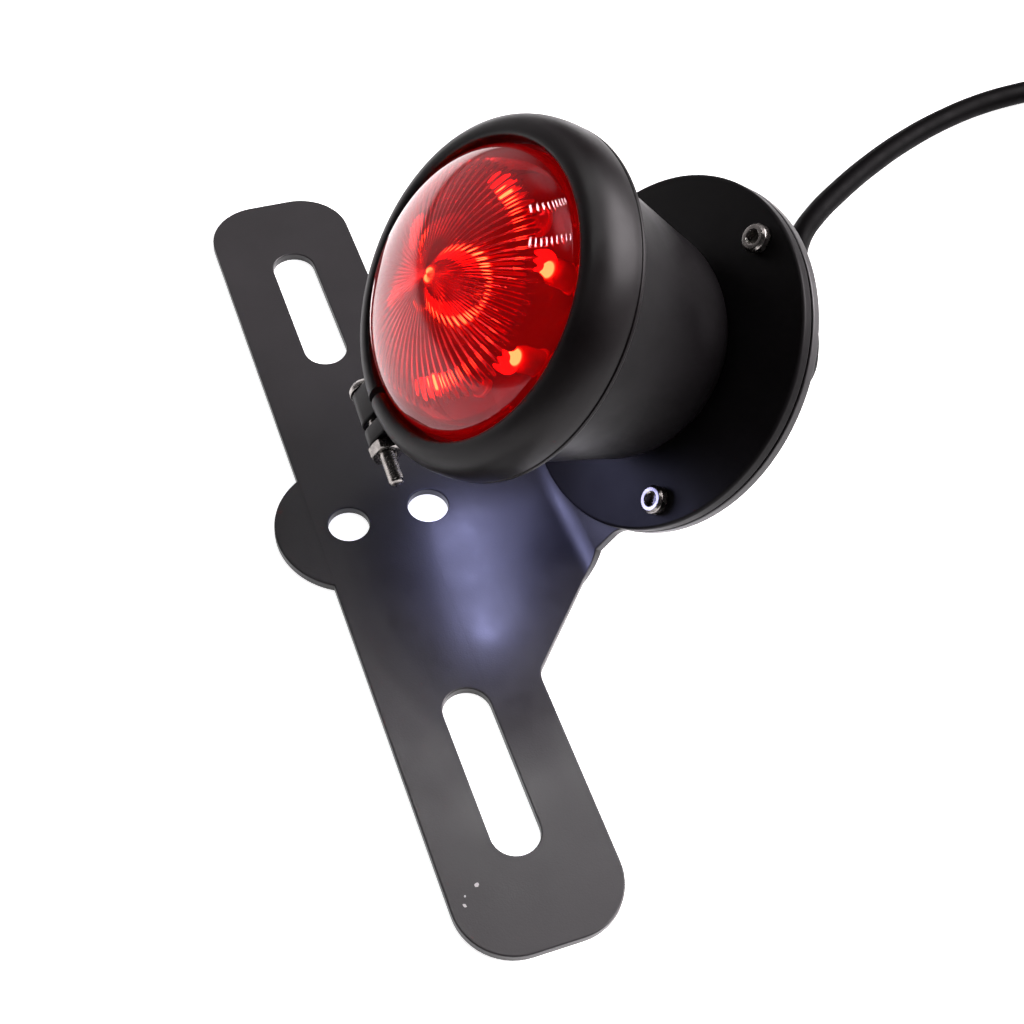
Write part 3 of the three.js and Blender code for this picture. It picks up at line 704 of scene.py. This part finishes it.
def make_lens(material):
    inside_r = LENS_R - LENS_WALL
    inner = lens_dome(inside_r, LENS_EDGE - 1, LENS_TOP - LENS_ROOF, 46)
    back = RIM_FRONT + 1.6
    outer = fillet([
        (inside_r, LENS_EDGE - 1, 0), (inside_r, back, 0.3), (LENS_FLANGE_R, back, 0.2),
        (LENS_FLANGE_R, RING_SHOULDER - 0.3, 0.2), (LENS_R, RING_SHOULDER - 0.3, 0.3), (LENS_R, LENS_EDGE, 0),
    ], 5)[1:-1]
    front = lens_dome(LENS_R, LENS_EDGE, LENS_TOP, 40)
    segments = FLUTES * 8
    made = revolve(inner[::-1] + outer + front, segments)
    roof = {round(r, 4): z for r, z in inner}
    for vertex in made.verts:
        x, y, z = vertex.co
        radius = math.hypot(x, y)
        known = roof.get(round(radius, 4))
        if known is not None and abs(known - z) < 1e-3:
            vertex.co.z += flute_depth(radius) * math.cos(FLUTES * math.atan2(y, x))
    piece = to_mesh("lens_shell", made, HEAD)
    shade(piece, 40)
    finish_piece(piece, material, "lens_ring", "lens_red", "lens")


# ---- lamps on their boards ----
def led_mesh(base):
    top = base + LED_HEIGHT
    profile = [(0, base), *fillet([(0, base, 0), (LED_R + 0.4, base, 0.1), (LED_R + 0.4, base + 1, 0.2),
                                   (LED_R, base + 1, 0.1), (LED_R, top - LED_R, 0)], 3)[1:]]
    return revolve(profile + dome(LED_R, top - LED_R, top, 12)[1:], 40)


def paint_glow(piece, place, low, high):
    """Stores how far each vertex stands up from the foot to the tip of a lamp, for its material."""
    glow = piece.data.attributes.new("glow", "FLOAT", "POINT")
    back = place.inverted()
    for vertex, value in zip(piece.data.vertices, glow.data):
        height = (back @ (vertex.co / MM)).z
        value.value = min(max((height - low) / (high - low), 0), 1)


def make_leds(material):
    base = BOARD_BACK + BOARD + 0.3
    places = [(0, 0), *(on_circle(LED_CIRCLE, angle) for angle in range(0, 360, 60))]
    for i, (x, y) in enumerate(places):
        place = HEAD @ Matrix.Translation((x, y, 0))
        piece = to_mesh(f"red_lamp_{i}", led_mesh(base), place)
        paint_glow(piece, place, base, base + LED_HEIGHT)
        shade(piece)
        finish_piece(piece, material, "base", "led_red", f"red_led_{i}")


def make_painted_apex_glow(material):
    """A glowing bead under the middle of the lens, which is no lamp: a painted highlight standing in for the middle
    lamp's light that the flutes gather there.
    """
    top = LENS_TOP - LENS_ROOF - 0.45
    bead = revolve([(0, top - 1.2), (1.2, top - 1.15), *dome(1.7, top - 1.0, top, 8)], 32)
    # painted highlight: a glowing bead where the real lamp has no part
    piece = to_mesh("painted_apex_highlight", bead, HEAD)
    paint_glow(piece, HEAD, top - 6, top)
    shade(piece)
    finish_piece(piece, material, "lens_ring", "led_red")


def make_led_board(material):
    holes = [circle(*on_circle(BOSS_CIRCLE, angle), 1.5, 24) for angle in SCREW_ANGLES]
    board = moved(outline("board", [circle(0, 0, BOARD_R, 96), *holes], BOARD, 0.1),
                  Matrix.Translation((0, 0, BOARD_BACK)))
    piece = to_mesh("led_board_disc", board, HEAD)
    shade(piece, 30)
    finish_piece(piece, material, "base", "circuit", "led_board")


def make_plate_lamp(clear, board_material, led_material):
    middle = sum(WINDOW_Z) / 2
    height = WINDOW_Z[1] - WINDOW_Z[0]
    for name, outer_gap, half, tall in (("pane", 0.1, WINDOW_HALF - 0.3, height - 0.6),
                                        ("pane_foot", WALL + 0.3, WINDOW_HALF + 1, height + 4)):
        inner_gap = WALL + 0.3 + (0.05 if name == "pane" else 1.2)
        piece = to_mesh(name, pane_mesh(outer_gap, inner_gap, half, middle, tall), HEAD)
        shade(piece, 30)
        finish_piece(piece, clear, "base", "window_clear", *(["plate_window"] if name == "pane" else []))
    board = to_mesh("plate_board", box_mesh((26, 1.2, 9), (0, -15.6, middle), 0.1), HEAD)
    finish_piece(board, board_material, "base", "circuit", "plate_led_board")
    for i in range(3):
        place = HEAD @ Matrix.Translation(((i - 1) * WHITE_LED_PITCH, -17.3, middle)) @ Matrix.Rotation(
            math.pi / 2, 4, "X")
        made = merge(box_mesh((4, 4, 1.2), (0, 0, -0.2), 0.15), box_mesh((3.2, 3.2, 0.4), (0, 0, 0.6), 0.15))
        piece = to_mesh(f"white_lamp_{i}", made, place)
        paint_glow(piece, place, -0.8, 0.8)
        shade(piece)
        finish_piece(piece, led_material, "base", "led_white", f"white_led_{i}")


def wall_radius(z):
    return WALL_FOOT_R + (WALL_RIM_R - WALL_FOOT_R) * (z - WALL_FOOT_Z) / (RIM_BACK - WALL_FOOT_Z)


def pane_mesh(outer_gap, inner_gap, half, middle, tall):
    """A piece of the cone just inside the housing's wall, round the middle of the plate lamp's window."""
    made = bmesh.new()
    columns, rows = 32, 6
    grid = {}
    for i in range(columns + 1):
        for j in range(rows + 1):
            z = middle + tall * (j / rows - 0.5)
            for side, gap in enumerate((outer_gap, inner_gap)):
                radius = wall_radius(z) - gap
                a = math.asin(half / radius) * (2 * i / columns - 1)
                grid[i, j, side] = made.verts.new((radius * math.sin(a), -radius * math.cos(a), z))
    for i in range(columns):
        for j in range(rows):
            for side in (0, 1):
                corners = ((i, j), (i + 1, j), (i + 1, j + 1), (i, j + 1))
                made.faces.new([grid[a, b, side] for a, b in corners])
    for i in range(columns):
        for j in (0, rows):
            made.faces.new([grid[i, j, 0], grid[i + 1, j, 0], grid[i + 1, j, 1], grid[i, j, 1]])
    for j in range(rows):
        for i in (0, columns):
            made.faces.new([grid[i, j, 0], grid[i, j + 1, 0], grid[i, j + 1, 1], grid[i, j, 1]])
    bmesh.ops.recalc_face_normals(made, faces=made.faces)
    return made


# ---- fasteners ----
def threaded(profile_top, tip, radius=1.5, pitch=0.5, segments=24):
    """A screw's shank from its tip to profile_top, with a helical thread and a chamfered tip."""
    made = bmesh.new()
    per_turn = 6
    rows = int((profile_top - tip) / pitch * per_turn)
    rings = []
    for i in range(rows + 1):
        z = tip + (profile_top - tip) * i / rows
        ring = []
        for k in range(segments):
            phase = ((z - tip) / pitch - k / segments) % 1
            depth = 0.27 * min(abs(phase - 0.5) * 2.6, 1)
            chamfer = max(0.55 - (z - tip), 0) * 0.8
            r = radius - max(depth, chamfer)
            a = 2 * math.pi * k / segments
            ring.append(made.verts.new((r * math.cos(a), r * math.sin(a), z)))
        rings.append(ring)
    for low, high in zip(rings, rings[1:]):
        for k in range(segments):
            j = (k + 1) % segments
            made.faces.new([low[k], low[j], high[j], high[k]])
    made.faces.new(rings[0][::-1])
    made.faces.new(rings[-1])
    bmesh.ops.recalc_face_normals(made, faces=made.faces)
    return made


def turned(levels, segments=96):
    """A closed body from rings of (shape, radius, height) in order. A hexagon's radius is half its width
    across flats. Its corners are turned off: they sink below the height of "hex_low" and rise above that of
    "hex_high"."""
    made = bmesh.new()
    rings = []
    for shape, radius, height in levels:
        if radius == 0:
            rings.append([made.verts.new((0, 0, height))])
            continue
        ring = []
        for k in range(segments):
            a = 2 * math.pi * k / segments
            around = (a + math.pi / 6) % (math.pi / 3) - math.pi / 6
            wide = radius if shape == "round" else radius / math.cos(around)
            corner = (wide - radius * 0.98) * 0.55
            level = height + {"hex_low": -corner, "hex_high": corner}.get(shape, 0)
            ring.append(made.verts.new((wide * math.cos(a), wide * math.sin(a), level)))
        rings.append(ring)
    pairs = list(zip(rings, rings[1:]))
    if levels[0][1]:
        pairs.append((rings[-1], rings[0]))
    for low, high in pairs:
        for k in range(segments):
            j = (k + 1) % segments
            corners = [low[k % len(low)], low[j % len(low)], high[j % len(high)], high[k % len(high)]]
            face = list(dict.fromkeys(corners))
            made.faces.new(face)
    bmesh.ops.recalc_face_normals(made, faces=made.faces)
    return made


def hex_nut(across, bottom, height, bore):
    """A hexagon nut with its corners turned off at both faces."""
    flat, top = across / 2, bottom + height
    return turned([
        ("round", bore, bottom + 0.3), ("round", bore + 0.3, bottom), ("round", flat * 0.95, bottom),
        ("hex_high", flat, bottom), ("hex_low", flat, top), ("round", flat * 0.95, top), ("round", bore + 0.3, top),
        ("round", bore, top - 0.3),
    ])


def cap_head(base):
    """A cap head with a hexagon socket, of which the mouth is turned to a cone."""
    top = base + 2.1
    socket = 1.25
    outside = fillet([
        (0, base, 0), (2.8, base, 0.15), (2.8, base + 1.6, 0.4), (2.35, top, 0.3), (1.62, top, 0),
    ], 5)
    rounds = [("round", r, z) for r, z in outside]
    return turned(rounds + [
        ("round", 1.52, top - 0.06), ("hex", socket, top - 0.22), ("hex", socket, base + 0.6),
        ("round", 1.0, base + 0.6), ("round", 0, base + 0.35),
    ])


def socket_screw(name, place, base, tip, material, nodes):
    piece = to_mesh(name, cap_head(base), place)
    shade(piece, 30)
    finish_piece(piece, material, "base", "stainless", *nodes)
    shank = to_mesh(name + "_thread", threaded(base + 0.1, tip), place)
    shade(shank, 60)
    finish_piece(shank, material, "base", "stainless")


def make_flange_fasteners(material):
    for i, angle in enumerate(SCREW_ANGLES):
        x, y = on_circle(SCREW_CIRCLE, angle)
        place = LAMP @ Matrix.Translation((x, y, 0)) @ Matrix.Rotation(math.radians(17 + 40 * i), 4, "Z")
        socket_screw(f"flange_cap_{i}", place, FLANGE_FRONT + 0.3, -3.6, material, [f"flange_screw_{i}"])
        piece = to_mesh(f"flange_hex_{i}", hex_nut(5.5, -2.7, 2.4, 1.55), place)
        shade(piece, 25)
        finish_piece(piece, material, "base", "stainless", f"flange_nut_{i}")


def make_clamp_fasteners(material):
    base = HEAD_EAR + 0.3
    profile = fillet([(0, base, 0), (3.1, base, 0.2), (3.1, base + 0.9, 0.6), (2.5, base + 1.8, 0.8),
                      (1.3, base + 2.35, 1), (0, base + 2.4, 0)], 6)
    piece = to_mesh("clamp_head", revolve(profile, 64), SCREW_AXIS)
    for turn in (0, 90):
        arm = moved(box_mesh((3.4, 0.75, 2), (0, 0, base + 2.1)), Matrix.Rotation(math.radians(turn + 20), 4, "Z"))
        combine(piece, to_mesh("cross", arm, SCREW_AXIS), "DIFFERENCE")
    shade(piece, 30)
    finish_piece(piece, material, "clamp_screw", "stainless", "clamp_screw")
    shank = to_mesh("clamp_thread", threaded(base + 0.1, -CLAMP_TIP), SCREW_AXIS)
    shade(shank, 60)
    finish_piece(shank, material, "clamp_screw", "stainless")
    held = to_mesh("clamp_hex", hex_nut(5.5, -NUT_EAR - 2.7, 2.4, 1.55), SCREW_AXIS)
    shade(held, 25)
    finish_piece(held, material, "lens_ring", "stainless", "clamp_nut")


def make_board_screws(material):
    front = BOARD_BACK + BOARD + 0.3
    profile = fillet([(0, 35, 0), (1.2, 35, 0.2), (1.2, front, 0), (2.3, front, 0.1), (2.3, front + 0.9, 0.5),
                      (1.4, front + 1.6, 0.5), (0, front + 1.6, 0)], 4)
    for i, angle in enumerate(SCREW_ANGLES):
        place = HEAD @ Matrix.Translation((*on_circle(BOSS_CIRCLE, angle), 0))
        piece = to_mesh(f"board_pan_{i}", revolve(profile, 32), place)
        combine(piece, to_mesh("slot", box_mesh((4, 0.5, 1), (0, 0, front + 1.6)), place), "DIFFERENCE")
        shade(piece, 30)
        finish_piece(piece, material, "base", "stainless", f"board_screw_{i}")


# ---- rubber and cable ends ----
def make_grommet(material):
    bore, neck = CABLE_R + 0.15, CABLE_HOLE_R - 0.3
    ribs = []
    for i in range(6):
        z = -21.5 + 2.6 * i
        wide = 3.9 + 0.2 * i
        ribs += [(wide, z, 0.3), (wide, z + 1.5, 0.3), (wide - 0.5, z + 1.6, 0.1), (wide - 0.5, z + 2.5, 0.1)]
    profile = fillet([
        (bore, -22, 0), (3.6, -22, 0.3), *ribs, (5.3, -5.6, 0.5), (7.2, -4.4, 0.8), (7.2, -0.3, 0.3),
        (neck, -0.3, 0.1), (neck, FLOOR_Z + 0.3, 0.1), (6.6, FLOOR_Z + 0.3, 0.3), (6.6, FLOOR_Z + 1.9, 0.5),
        (bore, FLOOR_Z + 1.9, 0.3), (bore, -21.9, 0),
    ], 3)[:-1]
    piece = to_mesh("cable_boot", revolve(profile, 64), LAMP)
    shade(piece, 35)
    finish_piece(piece, material, "base", "rubber_black", "cable_grommet")


COIL = Matrix.Translation((*COIL_CENTRE, 0))
COIL_TIES = (60, 300)
SLEEVE_RADIUS, SLEEVE_Z = 21.3, 3.3
CORE_ROUTES = (
    ((-2, 23.1, 3.3), (-0.5, 23.2, 3.2), (6, 21.4, 2.4), (12.4, 16.6, 1.6), (16.5, 9.6, 1.8), (17.5, 2, 2.1)),
    ((-1.8, 21.2, 3.3), (-0.3, 21.3, 3.2), (5, 18.4, 2.4), (9, 13.4, 1.6), (11.3, 8, 1.8), (11.5, 2, 2.1)),
    ((-1.6, 19.3, 3.3), (-0.1, 19.4, 3.2), (2.6, 16.6, 2.4), (4.6, 12, 1.6), (5.4, 7, 1.8), (5.5, 2, 2.1)),
)
CORE_R, BULLET_LENGTH = 0.75, 14


def make_tie(name, angle, material, node_name):
    """A nylon tie round both turns: a thin strap with its square head and clipped tail on top."""
    across = TURN_R[1] - TURN_R[0] + 2 * (CABLE_R + 0.25)
    tall, strap = 2 * CABLE_R + 0.25, 0.85
    corner = 2.6
    def loop(grow):
        w, h, r = across / 2 + grow, tall / 2 + grow, corner + grow
        return [p for cx, cy, start in ((w - r, h - r, 0), (-w + r, h - r, 90), (-w + r, -h + r, 180),
                                        (w - r, -h + r, 270)) for p in arc(cx, cy, r, start, start + 90, 8)]
    band = moved(outline("band", [loop(strap), loop(0)], 3.4, 0.2), Matrix.Translation((0, 0, -1.7)))
    upright = Matrix.Rotation(math.pi / 2, 4, "X")  # the loop's y becomes z
    band = moved(band, upright, Matrix.Translation((0, 0, tall / 2 + strap + 0.05)))
    top = tall + 2 * strap
    lock = box_mesh((5, 4.6, 3), (0, 0, top + 1.45), 0.4)
    tail = moved(box_mesh((3.5, 3.2, 1.0), (0, 0, 0), 0.2), Matrix.Rotation(math.radians(-70), 4, "Y"),
                 Matrix.Translation((0.6, 0, top + 1.6)))
    middle = sum(TURN_R) / 2
    place = COIL @ Matrix.Rotation(math.radians(angle), 4, "Z") @ Matrix.Translation((middle, 0, 0))
    piece = to_mesh(name, merge(band, lock, tail), place)
    shade(piece, 35)
    return finish_piece(piece, material, "base", "tie_nylon", node_name)


def make_cable_end(sleeve_material, core_materials, brass):
    arc_points = [(*p, SLEEVE_Z) for p in arc(0, 0, SLEEVE_RADIUS, 127, 96, 8)]
    taper = [0.86, 0.9, 0.97, 1, 1, 1, 0.98, 0.94, 0.86]
    sleeve = make_tube("sleeve_tube", arc_points, 3.3, COIL, taper)
    out = [finish_piece(sleeve, sleeve_material, "base", "rubber_black", "cable_sleeve")]
    slots = ("core_red", "core_black", "core_yellow")
    profile = fillet([
        (0, 0, 0), (1.6, 0, 0.2), (2.1, 0.6, 0.3), (2.1, 9.4, 0.3), (1.5, 10.6, 0.2), (1.5, 13, 0.3),
        (0.8, BULLET_LENGTH, 0.2), (0, BULLET_LENGTH, 0),
    ], 4)
    for i, (route, material, slot) in enumerate(zip(CORE_ROUTES, core_materials, slots)):
        core = make_tube(f"core_wire_{i}", route, CORE_R, COIL)
        out.append(finish_piece(core, material, "base", slot, f"core_{i}"))
        x, y, z = route[-1]
        place = COIL @ Matrix.Translation((x, y - 0.3, z)) @ Matrix.Rotation(math.pi / 2, 4, "X")
        bullet = to_mesh(f"bullet_pin_{i}", revolve(profile, 32), place)
        shade(bullet, 30)
        out.append(finish_piece(bullet, brass, "base", "brass", f"bullet_{i}"))
    return out


# ---- carried over from the CAD ----
def keep_cad(material, slot, *names):
    for name in names:
        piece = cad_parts[name]
        piece.data.materials.clear()
        piece.data.materials.append(material)


# ---- surroundings ----
def make_floor():
    """A white table that fades to a pale grey away from the object."""
    material, tree, shader = new_material("floor")
    shader.inputs["Roughness"].default_value = 0.9
    shader.inputs["Emission Color"].default_value = (1, 1, 1, 1)
    distance = node(tree, "ShaderNodeVectorMath", operation="LENGTH")
    tree.links.new(object_coordinates(tree), distance.inputs[0])
    pale = smooth_step(tree, distance.outputs["Value"], 0.42, 1.2, 0, 1)
    tree.links.new(ramp(tree, pale, [(0, grey(0.8)), (1, grey(0.12))]), shader.inputs["Base Color"])
    glow = smooth_step(tree, distance.outputs["Value"], 0.42, 1.2, 0.92, 0.1)
    tree.links.new(glow, shader.inputs["Emission Strength"])
    made = bmesh.new()
    bmesh.ops.create_grid(made, x_segments=1, y_segments=1, size=4000)
    floor = to_mesh("floor", made, Matrix.Translation((0, 0, -0.05)))
    floor.data.materials.append(material)


# Soft lights far away, as (direction, cosine at the edge, cosine at the full middle, strength).
SOFT_LIGHTS = (
    ((-0.18, 0.24, 0.95), 0.935, 0.988, 2.1),
    ((-0.72, 0.165, 0.675), 0.965, 0.997, 0.9),
    ((0.04, 0.80, 0.60), 0.86, 0.985, 18.0),
    ((-0.92, -0.30, 0.25), 0.75, 0.97, 0.6),
)


def make_world():
    """A dim room, paler towards the horizon, with a few soft lights in it."""
    world = bpy.data.worlds.new("world")
    bpy.context.scene.world = world
    world.use_nodes = True
    tree = world.node_tree
    back = tree.nodes["Background"]
    back.inputs["Color"].default_value = (1, 0.94, 0.97, 1)
    direction = node(tree, "ShaderNodeTexCoord").outputs["Generated"]
    height = node(tree, "ShaderNodeSeparateXYZ")
    tree.links.new(direction, height.inputs[0])
    total = smooth_step(tree, height.outputs["Z"], 0.5, 0.0, 0.03, 0.15)
    for toward, edge, middle, strength in SOFT_LIGHTS:
        facing = node(tree, "ShaderNodeVectorMath", operation="DOT_PRODUCT")
        tree.links.new(direction, facing.inputs[0])
        facing.inputs[1].default_value = Vector(toward).normalized()
        lobe = smooth_step(tree, facing.outputs["Value"], edge, middle, 0, strength)
        both = node(tree, "ShaderNodeMath", operation="ADD")
        tree.links.new(total, both.inputs[0])
        tree.links.new(lobe, both.inputs[1])
        total = both.outputs[0]
    tree.links.new(total, back.inputs["Strength"])
    bpy.context.scene.view_settings.view_transform = "Standard"


def smooth_step(tree, source, start, end, low, high):
    made = node(tree, "ShaderNodeMapRange", interpolation_type="SMOOTHSTEP")
    for name, value in (("From Min", start), ("From Max", end), ("To Min", low), ("To Max", high)):
        made.inputs[name].default_value = value
    tree.links.new(source, made.inputs["Value"])
    return made.outputs["Result"]


def area_light(name, place, target, size, power, colour=(1, 1, 1), along=(0, 1, 0), spread=180):
    """A rectangular light at a place in metres, facing a target.
    The second of its sizes lies along a direction, and its spread is in degrees."""
    data = bpy.data.lights.new(name, "AREA")
    data.shape = "RECTANGLE"
    data.size, data.size_y = size
    data.energy = power
    data.color = colour
    data.spread = math.radians(spread)
    light = link(name, data)
    z = (Vector(place) - Vector(target)).normalized()
    x = Vector(along).cross(z).normalized()
    light.matrix_world = Matrix.Translation(place) @ Matrix((x, z.cross(x), z)).transposed().to_4x4()


STRIP_LAMPS = 10
STRIP_DISTANCE = 0.8
STRIP_LIGHT = ((0.075, 0.024), 0.0006)  # size and power of each lamp
STRIP_SPREAD = 7
LENS_SIDE = Vector((0.008, 0.024, 0.083))  # where the lens faces the strips
# Each strip light runs past three directions from there.
STRIPS = (
    ((-0.513, -0.274, 0.813), (-0.433, 0.129, 0.892), (-0.436, 0.582, 0.686)),
    ((-0.236, -0.459, 0.857), (-0.071, -0.109, 0.992), (0.03, 0.553, 0.832)),
)
# Places just inside the number plate window, in the lamp's frame.
PLATE_BEAMS = ((-11, -22.6, 28.7), (1.3, -24.3, 31.1), (16.5, -25.4, 32.8))
BEAM_LIGHT = ((0.0025, 0.0025), 0.0042)  # size and power of each
PANE_LIGHT = ((0.016, 0.036), 0.0072)
BEND_LIGHT = ((0.026, 0.034), 0.012)
BLUISH = (0.5, 0.52, 1.0)
# The bend below the lamp, and a place between it and the housing's wall, in metres.
BEND_MIDDLE = Vector((0.02, 0.035, 0.003))
BEND_GLOW = BEND_MIDDLE + Vector((-0.521, -0.48, 0.705)) * 0.025


def strip_place(directions, t):
    first, middle, last = (Vector(d) for d in directions)
    handle = 2 * middle - (first + last) / 2
    toward = first * (1 - t) ** 2 + handle * 2 * t * (1 - t) + last * t**2
    return LENS_SIDE + toward.normalized() * STRIP_DISTANCE


def make_lights():
    for k, directions in enumerate(STRIPS):
        for i in range(STRIP_LAMPS):
            t = i / (STRIP_LAMPS - 1)
            run = strip_place(directions, t + 0.01) - strip_place(directions, t - 0.01)
            place = strip_place(directions, t)
            area_light(f"strip_{k}_{i}", place, LENS_SIDE, *STRIP_LIGHT, along=run, spread=STRIP_SPREAD)
    for i, (x, y, z) in enumerate(PLATE_BEAMS):
        place = LAMP @ Vector((x, y, z)) * MM
        area_light(f"plate_beam_{i}", place, place + Vector((0, 0, -1)), *BEAM_LIGHT, BLUISH)
    glow = LAMP @ Vector((0, -27.9, 30)) * MM
    area_light("pane_glow", glow, glow + Vector((0, 0.3, -0.95)), *PANE_LIGHT, BLUISH, (1, 0, 0))
    area_light("bend_glow", BEND_GLOW, BEND_MIDDLE, *BEND_LIGHT, BLUISH)
    for i, (x, y) in enumerate([(0, 0), *(on_circle(LED_CIRCLE, angle) for angle in range(0, 360, 60))]):
        data = bpy.data.lights.new(f"inner_glow_{i}", "POINT")
        data.energy = 0.0007
        data.color = (1, 0.06, 0.05)
        data.shadow_soft_size = 0.002
        link(f"inner_glow_{i}", data).location = HEAD @ Vector((x * 1.15, y * 1.15, 53)) * MM


# ---- the whole ----
make_camera()
sheath = plastic("cable_sheath", (0.0018, 0.0016, 0.0018), 0.5, 0.2, 1500)
sheath.node_tree.nodes["Principled BSDF"].inputs["Specular IOR Level"].default_value = 0.025
cable = make_cable(sheath)

bracket_paint = paint("bracket_paint", (0.012, 0.0108, 0.0118), 0.37, 0.35, 0.8, 0.42, 0.02, [
    (82.6, -10.0, 2, 0.55), (85.5, -13.2, 2, 0.4), (83.9, -12.6, 2, 0.25),
])
housing_paint = paint("housing_paint", (0.0035, 0.003, 0.0034), 0.42, 0.3, 0.2, 0.08)
ring_paint = paint("ring_paint", (0.0035, 0.0025, 0.0028), 0.39, 0.3, 0.2, 0.14)
stainless = steel("stainless")
rubber = plastic("rubber_black", (0.01, 0.01, 0.01), 0.6, 0.5, 1200)
nylon = plastic("tie_nylon", (0.015, 0.015, 0.016), 0.42)
circuit = plastic("circuit", (0.12, 0.11, 0.1), 0.5)
clear = clear_plastic()
led_red = lit("led_red", (1.0, 0.02, 0.015), (1.0, 0.85, 0.2), 16000, 110)
led_white = lit("led_white", (0.8, 0.85, 1.0), (0.9, 0.94, 1.0), 5)
core_materials = [plastic(*look) for look in (
    ("core_red", (0.4, 0.012, 0.012), 0.4), ("core_black", (0.012, 0.012, 0.012), 0.4),
    ("core_yellow", (0.6, 0.38, 0.03), 0.4),
)]
brass = plastic("brass", (0.6, 0.42, 0.16), 0.3, 0.2, 900, 1.0)

make_bracket(bracket_paint)
make_housing(housing_paint)
make_trim_ring(ring_paint)
make_lens(red_glass())
make_leds(led_red)
make_painted_apex_glow(led_red)
make_led_board(circuit)
make_plate_lamp(clear, circuit, led_white)
make_flange_fasteners(stainless)
make_clamp_fasteners(stainless)
make_board_screws(stainless)
make_grommet(rubber)
end_pieces = make_cable_end(rubber, core_materials, brass)
ties = [make_tie(f"tie_loop_{i}", angle, nylon, f"coil_tie_{i}") for i, angle in enumerate(COIL_TIES)]
keep_cad(rubber, "rubber_black", "lens_gasket")
keep_cad(sheath, "cable_sheath", "inner_cable")
for i, slot in enumerate(("core_red", "core_black", "core_yellow")):
    keep_cad(core_materials[i], slot, f"inner_wire_{i}")

make_floor()
make_world()
make_lights()
